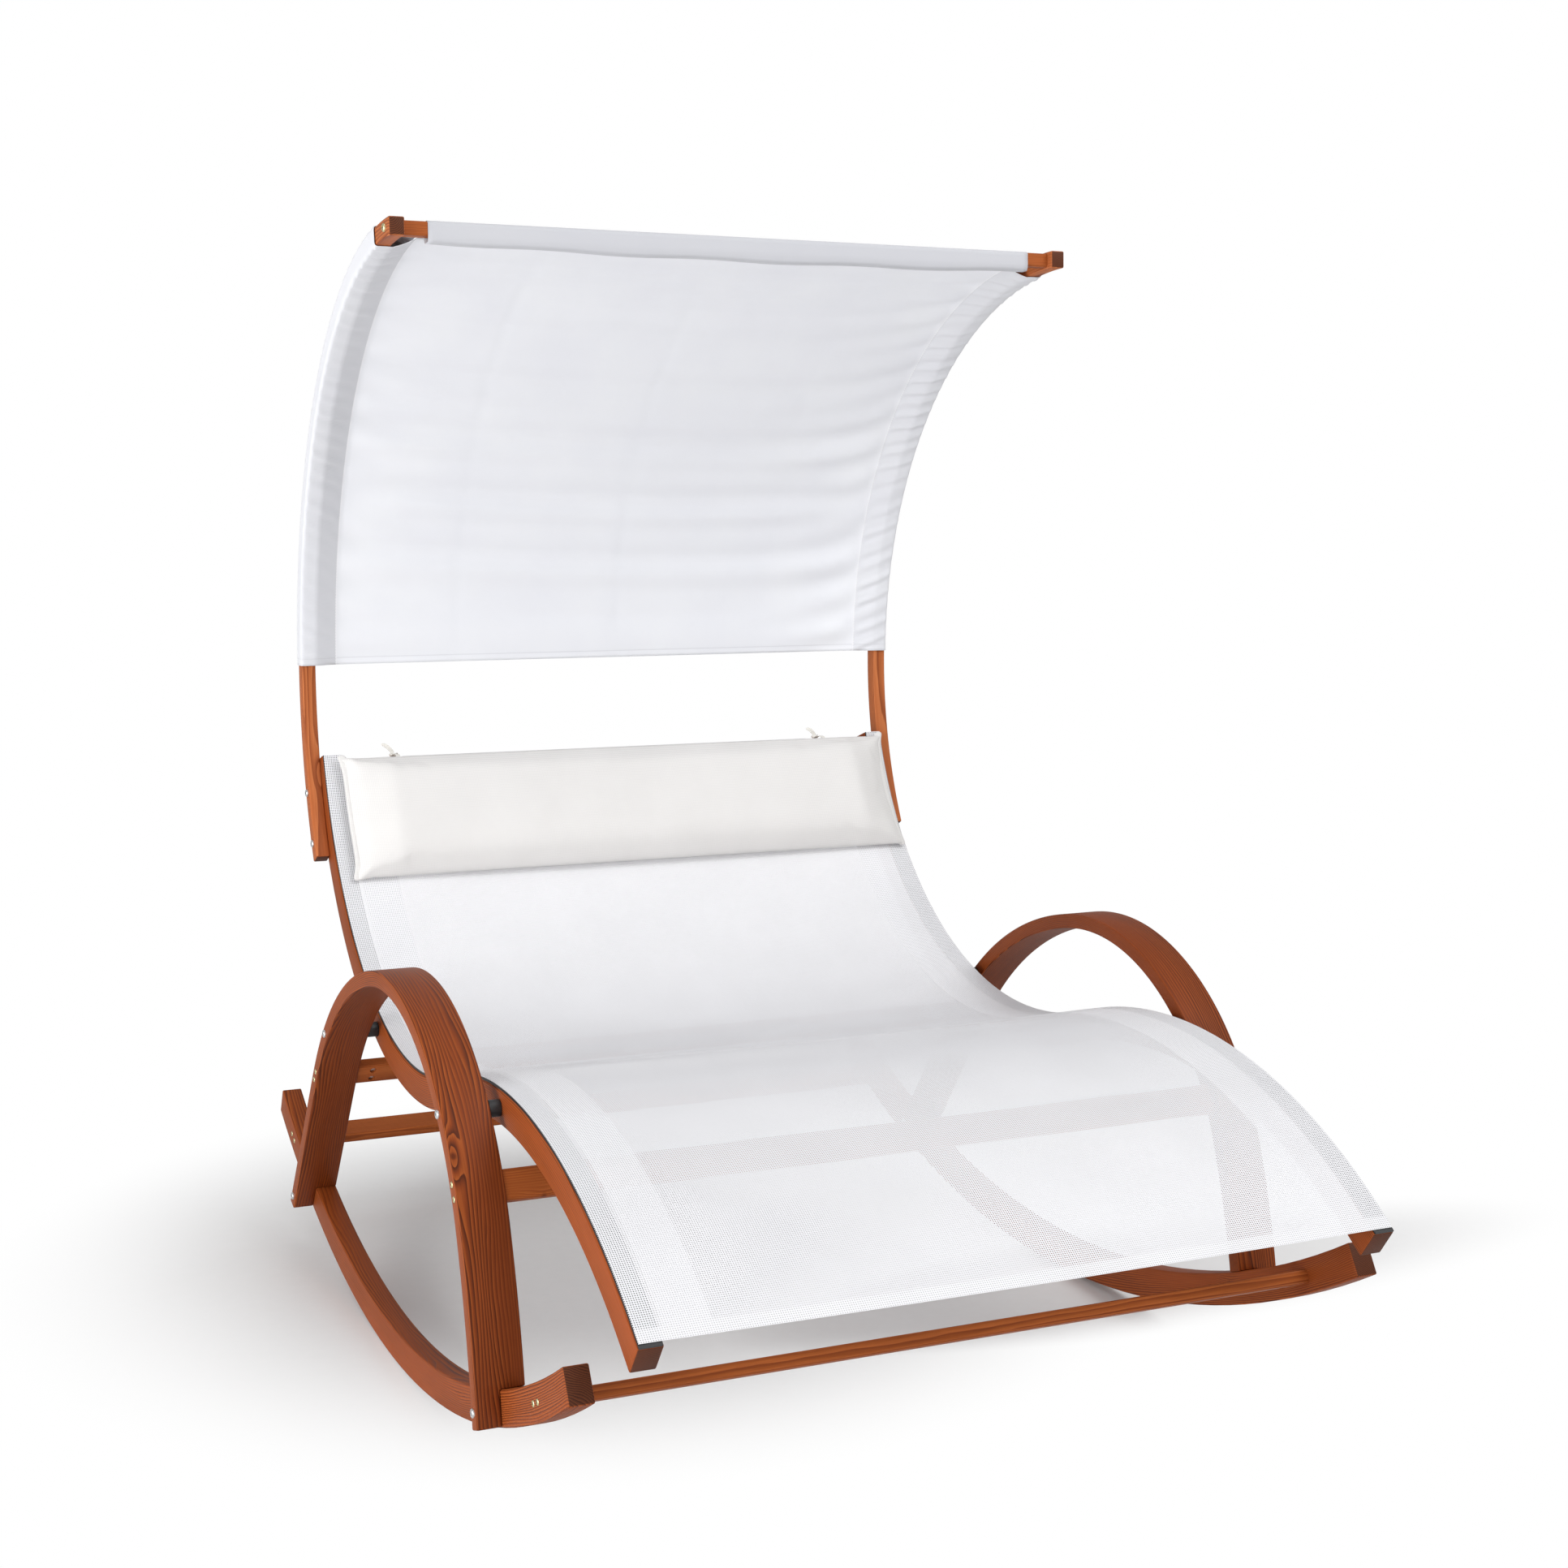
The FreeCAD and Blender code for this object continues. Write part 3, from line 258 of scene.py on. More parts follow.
def area_light(name, place, target, power):
    """A square soft box that looks at a point."""
    bpy.ops.object.light_add(type="AREA", location=place)
    lamp = bpy.context.active_object
    lamp.name = name
    lamp.data.size = LIGHT_SIZE
    lamp.data.energy = power
    lamp.rotation_euler = (Vector(target) - Vector(place)).to_track_quat("-Z", "Y").to_euler()
    print(name, "at", place)


area_light("key_light", (2.4, -3.0, 5.0), (0, 0, 0.6), 150.0)
area_light("side_light", (-4.6, -1.2, 1.1), (0, 0, 0.9), 190.0)
area_light("top_light", (0, -1.0, 4.6), (0, -0.4, 0), 24.0)
area_light("front_light", (-1.8, -5.2, 1.6), (0, 0, 1.3), 34.0)

# %% [markdown]
# ## The lines of the bent wood
#
# Rails, arches, rockers and posts are boards bent to a line of straight runs and arcs. Each line is kept
# as a list of runs. It can say where a point lies along the line, and it can also do the opposite: say
# how far along a point is, and how far above. That second answer straightens the board again, so
# the grain can be drawn on the straight board and follow every bend.


# %% Bent lines
def aim(angle):
    """A unit vector at an angle, in Y and Z."""
    return Vector((cos(angle), sin(angle)))


class Bend:
    """A line of straight runs and arcs in the plane square to X."""

    def __init__(self, start, pitch, runs):
        place = Vector(start)
        heading = radians(pitch)
        self.length = 0.0
        self.runs = []
        for radius, amount in runs:
            run = {"from": self.length, "place": place, "heading": heading, "radius": radius}
            if radius is None:
                run["length"] = amount
            else:
                run["turn"] = radians(amount)
                run["length"] = radius * abs(run["turn"])
                run["side"] = copysign(1, amount)
                run["centre"] = place + aim(heading).orthogonal() * radius * run["side"]
            self.runs.append(run)
            self.length += run["length"]
            place, heading = self.at(self.length)

    def at(self, travel, lift=0.0):
        """The Y and Z of a point so far along the line and so far to its left, and the heading there."""
        run = [r for r in self.runs if r["from"] <= max(travel, 0.0)][-1]
        along = travel - run["from"]
        heading = run["heading"]
        if run["radius"] is None:
            place = run["place"] + aim(heading) * along
        else:
            turned = along / run["radius"] * run["side"]
            place = run["centre"] + Matrix.Rotation(turned, 2) @ (run["place"] - run["centre"])
            heading += turned
        return place + aim(heading).orthogonal() * lift, heading

    def unbend(self, point):
        """How far along the line a point is, and how far to its left."""
        found = []
        for run in self.runs:
            if run["radius"] is None:
                offset = point - run["place"]
                ahead = aim(run["heading"])
                along = offset.dot(ahead)
                lift = ahead.x * offset.y - ahead.y * offset.x
            else:
                arm = run["place"] - run["centre"]
                offset = point - run["centre"]
                turned = atan2(arm.x * offset.y - arm.y * offset.x, arm.dot(offset))
                along = turned * run["side"] * run["radius"]
                lift = run["side"] * (run["radius"] - offset.length)
            beyond = max(0.0, -along, along - run["length"])
            found.append((beyond, abs(lift), run["from"] + along, lift))
        return min(found)[2:]


# %% Lines of rail, arch and rocker
RAIL_START = (-1.01137, 0.39417)
RAIL_PITCH = 35.47
RAIL_LEAD = 0.040
SEAT_BEND = (0.985, -54.2)
BACK_RADIUS = 0.714
BACK_TURN = 90.4
ARCH_START = (-0.58342, 0.07271)
ARCH_PITCH = 79.77
ARCH_RUNS = ((None, 0.090), (1.355, -11.1), (0.469, -78.5), (0.747, -43.9), (None, 0.500))
ROCKER_RADIUS = 1.977
ROCKER_CENTRE = Vector((0.11482, ROCKER_RADIUS))
ROCKER_FRONT = 30.93
ROCKER_REAR = 27.07

rail_line = Bend(RAIL_START, RAIL_PITCH, ((None, RAIL_LEAD), SEAT_BEND, (BACK_RADIUS, BACK_TURN)))
arch_line = Bend(ARCH_START, ARCH_PITCH, ARCH_RUNS)
rocker_front_end = ROCKER_CENTRE + ROCKER_RADIUS * Vector(
    (-sin(radians(ROCKER_FRONT)), -cos(radians(ROCKER_FRONT))))
rocker_line = Bend(rocker_front_end, -ROCKER_FRONT, ((ROCKER_RADIUS, ROCKER_FRONT + ROCKER_REAR),))
for name, line in (("rail", rail_line), ("arch", arch_line), ("rocker", rocker_line)):
    print(name, "line of", round(line.length, 3), "m")

# %% Line of the canopy posts
POST_RADIUS = 0.802
LOW_BOLT = (0.1663, -0.0465)
HIGH_BOLT = (0.0662, -0.0369)
POST_BELOW = radians(2.4)
POST_ABOVE = radians(106.3)

post_bolt_low = rail_line.at(rail_line.length - LOW_BOLT[0], LOW_BOLT[1])[0]
post_bolt_high = rail_line.at(rail_line.length - HIGH_BOLT[0], HIGH_BOLT[1])[0]
bolt_chord = post_bolt_high - post_bolt_low
canopy_reach = sqrt(POST_RADIUS ** 2 - (bolt_chord.length / 2) ** 2)
canopy_centre = (post_bolt_low + post_bolt_high) / 2 + canopy_reach * bolt_chord.orthogonal().normalized()


def canopy_angle(point):
    return atan2(point.y - canopy_centre.y, point.x - canopy_centre.x)


def on_canopy(angle, radius=POST_RADIUS):
    """The Y and Z at an angle on the canopy's circle."""
    return canopy_centre + radius * aim(angle)


high_angle = canopy_angle(post_bolt_high)
post_start = canopy_angle(post_bolt_low) - POST_BELOW
post_end = high_angle + POST_ABOVE
post_line = Bend(on_canopy(post_start), degrees(post_start) + 90,
                 ((POST_RADIUS, degrees(post_end - post_start)),))
print("post line of", round(post_line.length, 3), "m")

# %% [markdown]
# ## Wood
#
# Softwood shows rings: pale early wood that darkens slowly and then stops at a sharp dark line. The rings
# are circles round the heart of the tree, which lies a few centimetres outside the board. Noise makes
# that heart wander along the board, and the wandering draws the arched figure of a flat-sawn face.
# Round a knot the rings part, and its core is dark.

# %% Knots
KNOT_CELLS = (1.3, 10.0, 10.0)
KNOT_SIZES = tuple(1 / cells for cells in KNOT_CELLS)
EYE_STRETCH = (0.32, 1.0, 1.0)
EYE_REACH = 0.02
CORE_EDGE = (0.003, 0.008)


def length_of(vector):
    return vector_node("LENGTH", vector, output="Value")


def knots(place, only=None):
    """The eyes where rings part and the cores of knots, which are scattered or at one place only."""
    if only:
        away = vector_node("SUBTRACT", place, only)
    else:
        cells = stretched(place, KNOT_CELLS)
        centre = add("TexVoronoi", None, {"Vector": cells, "Scale": 1.0}).outputs["Position"]
        away = stretched(vector_node("SUBTRACT", cells, centre), KNOT_SIZES)
    eye = step_down(length_of(stretched(away, EYE_STRETCH)), 0.0, EYE_REACH)
    core = step_down(length_of(away), *CORE_EDGE)
    return eye, core


# %% Grain
WANDER = (1.5, 9.0, 9.0)
RIPPLE = (7.0, 70.0, 70.0)
FIGURE = (1.1, 15.0, 15.0)
FIBRE = (14.0, 900.0, 900.0)
BLOTCH = (2.4, 16.0, 16.0)
CROSS_CUT = (0.0, 1.0, 1.0)
EYE_PUSH = 0.0065
RIPPLE_PUSH = 0.003
PLAIN_EDGE = (0.3, 0.58)
PLAIN_SHARE = (0.85, 0.05)
CORE_STRENGTH = 0.75
STREAK_STRENGTH = 0.75
PATCH_STRENGTH = 0.85
WOOD_ROUGHNESS = (0.58, 0.46)
CORE_TONE = (0.3, 0.24, 0.2)
STREAK_TONE = (0.72, 0.68, 0.66)
PATCH_TONE = (0.74, 0.72, 0.7)
CLEAR = (1.0, 1.0, 1.0)


def wood(name, attribute, tones, heart, ring, depth=0.022, knot=None):
    """Stained softwood, drawn on the straightened board or on object coordinates."""
    material, shader, place = new_material(name, attribute)
    rooted = vector_node("ADD", place, heart)
    wander = noise(place, WANDER)[1]
    moved = vector_node("MULTIPLY_ADD", wander, (0.0, depth * 2, depth * 2), rooted)
    radius = length_of(stretched(moved, CROSS_CUT))
    eye, core = knots(place, knot)
    radius = calc("MULTIPLY_ADD", eye, EYE_PUSH, radius)
    radius = calc("MULTIPLY_ADD", noise(place, RIPPLE)[0], RIPPLE_PUSH, radius)
    rings = calc("FRACT", calc("DIVIDE", radius, ring))
    light, middle, dark = tones
    colour = ramp(rings, ((0.0, light), (0.45, middle), (0.86, dark), (0.95, dark), (1.0, light)))
    plain = moved_range(noise(place, FIGURE)[0], *PLAIN_EDGE, *PLAIN_SHARE)
    plain = calc("MULTIPLY", plain, calc("SUBTRACT", 1.0, eye))
    colour = mixed("MIX", plain, colour, middle)
    colour = mixed("MULTIPLY", calc("MULTIPLY", core, CORE_STRENGTH), colour, CORE_TONE)
    fibre = noise(place, FIBRE, 3.0)[0]
    blotch = noise(place, BLOTCH)[0]
    colour = mixed("MULTIPLY", STREAK_STRENGTH, colour, two_tone(fibre, STREAK_TONE, CLEAR))
    colour = mixed("MULTIPLY", PATCH_STRENGTH, colour, two_tone(blotch, PATCH_TONE, CLEAR))
    shader.inputs["Specular IOR Level"].default_value = 0.15
    relief = calc("ADD", rings, fibre)
    dress(shader, colour, spread(rings, *WOOD_ROUGHNESS), (relief, 0.2, 0.0003))
    return material


# %% Wood materials
ARCH_KNOT = (14.766, 0.012, -0.034)
RED_BROWN = (seen(182, 98, 45), seen(154, 74, 30), seen(88, 36, 12))
DARK_BROWN = (seen(162, 83, 34), seen(134, 61, 21), seen(84, 36, 12))
ORANGE_BROWN = (seen(206, 124, 74), seen(186, 104, 57), seen(138, 68, 34))
BAR_BROWN = (seen(194, 108, 54), seen(174, 92, 41), seen(146, 72, 31))
END_BROWN = (seen(118, 68, 42), seen(96, 52, 32), seen(64, 34, 22))

rail_wood = wood("rail_wood", "board", RED_BROWN, (0.0, 0.085, 0.05), 0.0034)
arch_wood = wood("arch_wood", "board", DARK_BROWN, (0.0, 0.085, 0.055), 0.0029, knot=ARCH_KNOT)
post_wood = wood("post_wood", "board", ORANGE_BROWN, (0.0, 0.08, -0.045), 0.0048)
bar_wood = wood("bar_wood", None, BAR_BROWN, (0.0, 0.31, 0.17), 0.0030, 0.006)
end_wood = wood("end_wood", "board", END_BROWN, (0.0, 0.085, 0.05), 0.0032)
print("wood materials:", 5)

# %% [markdown]
# ## Bending a board
#
# A bent board starts as one rectangle, its cross-section. Extrude pulls it along a straight run, and Spin
# turns it round the centre of an arc, so the board grows run by run as it does in the bending form.
# A bevel then eases the long edges, as a router does.


# %% Selecting and editing
def pick(*pieces):
    """Selects pieces and nothing else; the last one is active."""
    bpy.ops.object.select_all(action="DESELECT")
    for piece in pieces:
        piece.select_set(True)
    bpy.context.view_layer.objects.active = pieces[-1]


def select_points(piece, wanted):
    """Selects the points that pass a test, and the edges and faces that lie wholly on them."""
    chosen = [wanted(vertex) for vertex in piece.data.vertices]
    for vertex in piece.data.vertices:
        vertex.select = chosen[vertex.index]
    for part in (*piece.data.edges, *piece.data.polygons):
        part.select = all(chosen[index] for index in part.vertices)


def start_edit(piece, wanted=None):
    """Opens one piece in edit mode, with all of it selected or only the points that pass a test."""
    pick(piece)
    if wanted:
        select_points(piece, wanted)
    bpy.ops.object.mode_set(mode="EDIT")
    if not wanted:
        bpy.ops.mesh.select_all(action="SELECT")


def end_edit():
    bpy.ops.object.mode_set(mode="OBJECT")


def settle(name, scale=(1, 1, 1)):
    """Names the active piece, scales it and applies its place to its mesh."""
    piece = bpy.context.active_object
    piece.name = name
    piece.scale = scale
    bpy.ops.object.transform_apply(location=True, rotation=True, scale=True)
    return piece


# %% Sweeping
SPIN_STEP = radians(1.4)


def pull(step):
    """Extrudes what is selected in edit mode."""
    bpy.ops.mesh.extrude_region_move(TRANSFORM_OT_translate={"value": step})


def spin(steps, turn, centre):
    """Spins what is selected in edit mode about an axis along X. The operator counts turns backwards."""
    bpy.ops.mesh.spin(steps=steps, angle=-turn, center=(0, *centre), axis=(1, 0, 0))


def sweep_on(runs):
    """Extrudes and spins what is selected in edit mode along the runs of a line."""
    for run in runs:
        if run["radius"] is None:
            pull(Vector((0, *aim(run["heading"]))) * run["length"])
        else:
            spin(max(2, round(abs(run["turn"]) / SPIN_STEP)), run["turn"], run["centre"])


def bent_board(name, line, side, inner, outer, low, high):
    """A board on one side, between two distances from the middle and two heights over a line."""
    place, heading = line.at(0.0, (low + high) / 2)
    bpy.ops.mesh.primitive_plane_add(
        size=1, location=(side * (inner + outer) / 2, *place), rotation=(heading + pi / 2, 0, 0))
    board = settle(name, (outer - inner, high - low, 1))
    start_edit(board)
    sweep_on(line.runs)
    bpy.ops.mesh.select_all(action="SELECT")
    bpy.ops.mesh.normals_make_consistent(inside=False)
    end_edit()
    return board


# %% Finishing a piece
EASE = 0.003
END_GRAIN = 0.75
SIDES = (("left", -1), ("right", 1))


def use_modifier(piece, kind, **settings):
    """Adds a modifier, sets it and applies it."""
    pick(piece)
    modifier = piece.modifiers.new(kind.lower(), kind)
    for key, setting in settings.items():
        setattr(modifier, key, setting)
    bpy.ops.object.modifier_apply(modifier=modifier.name)


def smooth(piece, sharpest):
    """Shades a piece smooth, apart from edges sharper than an angle in degrees."""
    pick(piece)
    bpy.ops.object.shade_smooth_by_angle(angle=radians(sharpest))


def ease_edges(piece, width=EASE):
    use_modifier(piece, "BEVEL", width=width, segments=3, limit_method="ANGLE",
                 angle_limit=radians(40), harden_normals=False)
    smooth(piece, 35)


def lay_grain(board, line, shift, middle_x, middle_lift, wood_face):
    """Stores each point's place on the straight board and gives sawn ends the end-grain material."""
    straight = board.data.attributes.new("board", "FLOAT_VECTOR", "POINT")
    for vertex, stored in zip(board.data.vertices, straight.data):
        travel, lift = line.unbend(vertex.co.yz)
        stored.vector = (travel + shift, lift - middle_lift, vertex.co.x - middle_x)
    board.data.materials.append(wood_face)
    board.data.materials.append(end_wood)
    for face in board.data.polygons:
        travel = line.unbend(face.center.yz)[0]
        heading = line.at(min(max(travel, 0.0), line.length))[1]
        along = face.normal.y * cos(heading) + face.normal.z * sin(heading)
        face.material_index = 1 if abs(along) > END_GRAIN else 0


def stand_for(piece, body, slot, node, *materials):
    """The piece gets materials, rides on a body and is shown in place of a CAD node."""
    for material in materials:
        piece.data.materials.append(material)
    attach(piece, body)
    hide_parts(node)
    print(piece.name, "with", len(piece.data.polygons), "faces stands for", node)


# %% [markdown]
# ## Side rails and rockers
#
# A rail is one S-shaped board and a rocker is one arc, so both come straight out of the bending helper.
# Each board's grain is shifted, as if it came from another stretch of the tree.

# %% Side rails
RAIL_INNER = 0.592
RAIL_OUTER = 0.632
RAIL_MIDDLE = (RAIL_INNER + RAIL_OUTER) / 2
RAIL_DEPTH = 0.055
RAIL_SHIFT = 3.1

for name, side in SIDES:
    rail = bent_board(f"{name}_rail_wood", rail_line, side, RAIL_INNER, RAIL_OUTER, -RAIL_DEPTH, 0.0)
    ease_edges(rail)
    lay_grain(rail, rail_line, RAIL_SHIFT + side, side * RAIL_MIDDLE, -RAIL_DEPTH / 2, rail_wood)
    stand_for(rail, "frame", "wood_frame", f"{name}_side_rail")

# %% [markdown]
# ## Seats for sunk bolts
#
# The bolts of the crossbars have sunk heads, so rockers and arches need a round seat for each head. The
# boxes of the CAD bolts say where, and a cylinder cuts each seat with a Boolean modifier.

# %% Seat helpers
MERGE = 1e-6
SEAT_RADIUS = 0.0059
SEAT_DEPTH = 0.005
SEAT_SIDES = 24


def copied(piece):
    """A copy of a piece, with a mesh of its own."""
    copy = piece.copy()
    copy.data = piece.data.copy()
    bpy.context.scene.collection.objects.link(copy)
    return copy


def loose_parts(node):
    """A merged copy of a CAD node, taken apart into its separate shells, which are left selected."""
    start_edit(copied(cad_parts[node]))
    bpy.ops.mesh.remove_doubles(threshold=MERGE)
    bpy.ops.mesh.separate(type="LOOSE")
    end_edit()
    return list(bpy.context.selected_objects)


def loose_boxes(node):
    """The box round each separate solid of a CAD node."""
    boxes = []
    for part in loose_parts(node):
        points = [part.matrix_world @ vertex.co for vertex in part.data.vertices]
        boxes.append((Vector(map(min, zip(*points))), Vector(map(max, zip(*points)))))
    bpy.ops.object.delete()
    return boxes


def cylinder(name, radius, length, place, sides):
    """A cylinder along X that starts at a place and runs towards -X for its length."""
    bpy.ops.mesh.primitive_cylinder_add(
        vertices=sides, radius=radius, depth=length, rotation=(0, pi / 2, 0),
        location=(place[0] - length / 2, place[1], place[2]))
    return settle(name)


def cut_with(piece, cutter):
    """Takes a cutter's shape out of a piece and throws the cutter away."""
    use_modifier(piece, "BOOLEAN", operation="DIFFERENCE", object=cutter, solver="EXACT")
    pick(cutter)
    bpy.ops.object.delete()


def sink_seats(board, node, side, outer):
    """Cuts the seats of a node's bolt heads into the outer face of a board."""
    seats = 0
    for low, high in loose_boxes(node):
        middle = (low + high) / 2
        if middle.x * side > 0:
            place = (side * outer + SEAT_DEPTH, middle.y, middle.z)
            cut_with(board, cylinder("seat_cutter", SEAT_RADIUS, 2 * SEAT_DEPTH, place, SEAT_SIDES))
            seats += 1
    smooth(board, 35)
    print(board.name, seats, "seats")


# %% Rockers
ARCH_INNER = 0.652
ROCKER_OUTER = 0.692
ROCKER_MIDDLE = (ARCH_INNER + ROCKER_OUTER) / 2
ROCKER_DEPTH = 0.057
ROCKER_SHIFT = 9.4

for name, side in SIDES:
    rocker = bent_board(f"{name}_rocker_wood", rocker_line, side, ARCH_INNER, ROCKER_OUTER,
                        0.0, ROCKER_DEPTH)
    ease_edges(rocker)
    sink_seats(rocker, "rocker_bar_bolts", side, ROCKER_OUTER)
    lay_grain(rocker, rocker_line, ROCKER_SHIFT + 2 * side, side * ROCKER_MIDDLE, ROCKER_DEPTH / 2,
              rail_wood)
    stand_for(rocker, "frame", "wood_frame", f"{name}_rocker")

# %% [markdown]
# ## Arm arches
#
# An arch is a wide thin board that stands over the rocker. Its feet are notched: the inner half stops on
# the rocker's top, and the outer half runs down beside the rocker. Two ring-shaped cutters made with the
# same helper take the notch out with Boolean modifiers. The outer edge of the board is drawn lighter than
# its broad face, in the rail's wood: painted light, as if the side light fell on it.

# %% Arm arches
ARCH_OUTER = 0.732
ARCH_MIDDLE = (ARCH_INNER + ARCH_OUTER) / 2
ARCH_HALF = 0.014
ARCH_SHIFT = 17.3
NOTCH_PLAY = 0.0002
CUTTER_REACH = 0.25
CUTTER_PAST = 0.02
FOOT_TRIM = 0.002
PAINTED_LIGHT_FACE = 0.7

for name, side in SIDES:
    arch = bent_board(f"{name}_arch_wood", arch_line, side, ARCH_INNER, ARCH_OUTER, -ARCH_HALF, ARCH_HALF)
    cut_with(arch, bent_board("below_cutter", rocker_line, side, ARCH_INNER - CUTTER_PAST,
                              ARCH_OUTER + CUTTER_PAST, -CUTTER_REACH, FOOT_TRIM))
    cut_with(arch, bent_board("notch_cutter", rocker_line, side, ARCH_INNER - CUTTER_PAST,
                              ROCKER_OUTER + NOTCH_PLAY, -CUTTER_PAST, ROCKER_DEPTH + NOTCH_PLAY))
    ease_edges(arch)
    sink_seats(arch, "arch_bar_bolts", side, ARCH_OUTER)
    lay_grain(arch, arch_line, ARCH_SHIFT + 3 * side, side * ARCH_MIDDLE, 0.0, arch_wood)
    # painted light: the outer edge of each arch takes the lighter rail wood, as if lit from the side
    arch.data.materials.append(rail_wood)
    for face in arch.data.polygons:
        if face.material_index == 0 and face.normal.x * side > PAINTED_LIGHT_FACE:
            face.material_index = 2
    stand_for(arch, "frame", "wood_frame", f"{name}_arm_arch")

# %% [markdown]
# ## Canopy posts
#
# Each post is one arc that starts beside the rail and ends over the sitter's head.

# %% Canopy posts
POST_OUTER = 0.660
POST_MIDDLE = (RAIL_OUTER + POST_OUTER) / 2
POST_HALF = 0.016
POST_SHIFT = 27.7

for name, side in SIDES:
    post = bent_board(f"{name}_post_wood", post_line, side, RAIL_OUTER, POST_OUTER, -POST_HALF, POST_HALF)
    ease_edges(post)
    lay_grain(post, post_line, POST_SHIFT + 4 * side, side * POST_MIDDLE, 0.0, post_wood)
    stand_for(post, "frame", "wood_frame", f"{name}_canopy_post")

# %% [markdown]
# ## Straight bars
#
# The bars between the sides are straight, so the CAD shape is right and grain along X is enough.


# %% Straight bars
def paint(material, *nodes):
    """Gives CAD nodes a material in place of their own."""
    for node in nodes:
        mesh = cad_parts[node].data
        mesh.materials.clear()
        mesh.materials.append(material)
    print(material.name, "on", *nodes)


paint(bar_wood, "arch_front_crossbar", "arch_rear_crossbar", "rocker_front_crossbar",
      "rocker_rear_crossbar", "canopy_crossbar", "top_crossbar")

# %% [markdown]
# ## Metal and plastic
#
# Zinc-plated steel is bright with faint clouds in its shine. The black strips and spacers are moulded
# plastic: nearly black, with a fine grain that scatters the light.

# %% Metal and plastic materials
ZINC_CLOUD = 260.0
ZINC_GRIT = 1500.0
PLASTIC_GRIT = 900.0
PLASTIC_TONES = ((0.008, 0.008, 0.009), (0.02, 0.02, 0.022))


def zinc(name, tone, other):
    material, shader, place = new_material(name)
    cloud = noise(place, ZINC_CLOUD, 3.0)[0]
    shader.inputs["Metallic"].default_value = 1.0
    dress(shader, two_tone(cloud, tone, other), spread(cloud, 0.22, 0.4),
          (noise(place, ZINC_GRIT)[0], 0.08, 0.0002))
    return material


bright_zinc = zinc("bright_zinc", seen(206, 210, 212), seen(236, 238, 238))
yellow_zinc = zinc("yellow_zinc", seen(206, 202, 150), seen(236, 230, 186))
black_plastic, shader, place = new_material("black_plastic")
grit = noise(place, PLASTIC_GRIT, 3.0)[0]
dress(shader, two_tone(grit, *PLASTIC_TONES), spread(grit, 0.42, 0.6), (grit, 0.2, 0.0003))
paint(black_plastic, "left_rail_strip", "right_rail_strip")
paint(bright_zinc, "frame_nuts", "barrel_nuts", "canopy_barrel_nuts")

# %% [markdown]
# ## Spacers and bolts
#
# A spacer is a short black tube between rail and arch. A bolt is a shank and a domed head with a
# hexagon socket: the head is a cylinder whose top edge is bevelled round, and a six-sided cutter sinks
# the socket. One bolt of each kind is modelled and then copied to the places of the CAD solids.
# The heads of sunk bolts are raised a little, to sit flush with the wood.

# %% Spacers
SPACER_SIDES = 48
SPACER_EASE = 0.0015

for name in ("left_front_spacer", "left_rear_spacer", "right_front_spacer", "right_rear_spacer"):
    low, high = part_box(name)
    middle = (low + high) / 2
    spacer = cylinder(f"{name}_tube", (high.z - low.z) / 2, high.x - low.x, (high.x, middle.y, middle.z),
                      SPACER_SIDES)
    ease_edges(spacer, SPACER_EASE)
    stand_for(spacer, "frame", "black_plastic", name, black_plastic)

# %% Bolts
BUTTON_RADIUS = 0.0075
SUNK_RADIUS = 0.0055
HEAD_HEIGHT = 0.004
HEAD_SIDES = 40
ROUND_SHARE = 0.42
SOCKET_SHARE = 0.42
SOCKET_DEPTH = 0.0024
SHANK_RADIUS = 0.004
SHANK_SIDES = 24
FLUSH = 0.0018


def bolt(name, head_radius, length):
    """A bolt along -X whose head's crown is at the origin."""
    head = cylinder(name, head_radius, HEAD_HEIGHT, (0, 0, 0), HEAD_SIDES)
    start_edit(head, lambda vertex: vertex.co.x > -HEAD_HEIGHT / 2)
    bpy.ops.mesh.bevel(offset=head_radius * ROUND_SHARE, offset_type="OFFSET", segments=5, profile=0.6,
                       affect="EDGES")
    end_edit()
    cut_with(head, cylinder("socket_cutter", head_radius * SOCKET_SHARE, SOCKET_DEPTH * 2,
                            (SOCKET_DEPTH, 0, 0), 6))
    shank = cylinder("shank", SHANK_RADIUS, length - HEAD_HEIGHT, (-HEAD_HEIGHT, 0, 0), SHANK_SIDES)
    pick(shank, head)
    bpy.ops.object.join()
    smooth(head, 40)
    return head


def bolts_for(node, head_radius, material, raised=0.0):
    """One piece of bolts at the places of a node's CAD solids, heads to the outside."""
    boxes = loose_boxes(node)
    low, high = boxes[0]
    model = bolt(f"{node}_heads", head_radius, high.x - low.x)
    copies = []
    for low, high in boxes:
        middle = (low + high) / 2
        outward = middle.x > 0
        copy = copied(model)
        copy.location = (high.x + raised if outward else low.x - raised, middle.y, middle.z)
        copy.rotation_euler = (0, 0, 0 if outward else pi)
        copies.append(copy)
    pick(model)
    bpy.ops.object.delete()
    pick(*copies)
    bpy.ops.object.join()
    stand_for(settle(f"{node}_heads"), "frame", "zinc_steel", node, material)


for node in ("spacer_bolts", "foot_bolts", "post_bolts"):
    bolts_for(node, BUTTON_RADIUS, bright_zinc)
for node in ("arch_bar_bolts", "rocker_bar_bolts"):
    bolts_for(node, SUNK_RADIUS, yellow_zinc, FLUSH)
for node in ("canopy_bar_bolts", "top_bar_screws"):
    bolts_for(node, BUTTON_RADIUS, yellow_zinc)

# %% [markdown]
# ## Sling
#
# The seat is one piece of coated mesh, stretched over both rails and closed round the top bar as a
# sleeve. It starts as a chain of edges across the lounger, which is swept along the rail's line. The
# holes of the mesh are drawn by the material's alpha, so what lies below shows through as it does in
# real mesh: dark over the black strips, pale over the floor.


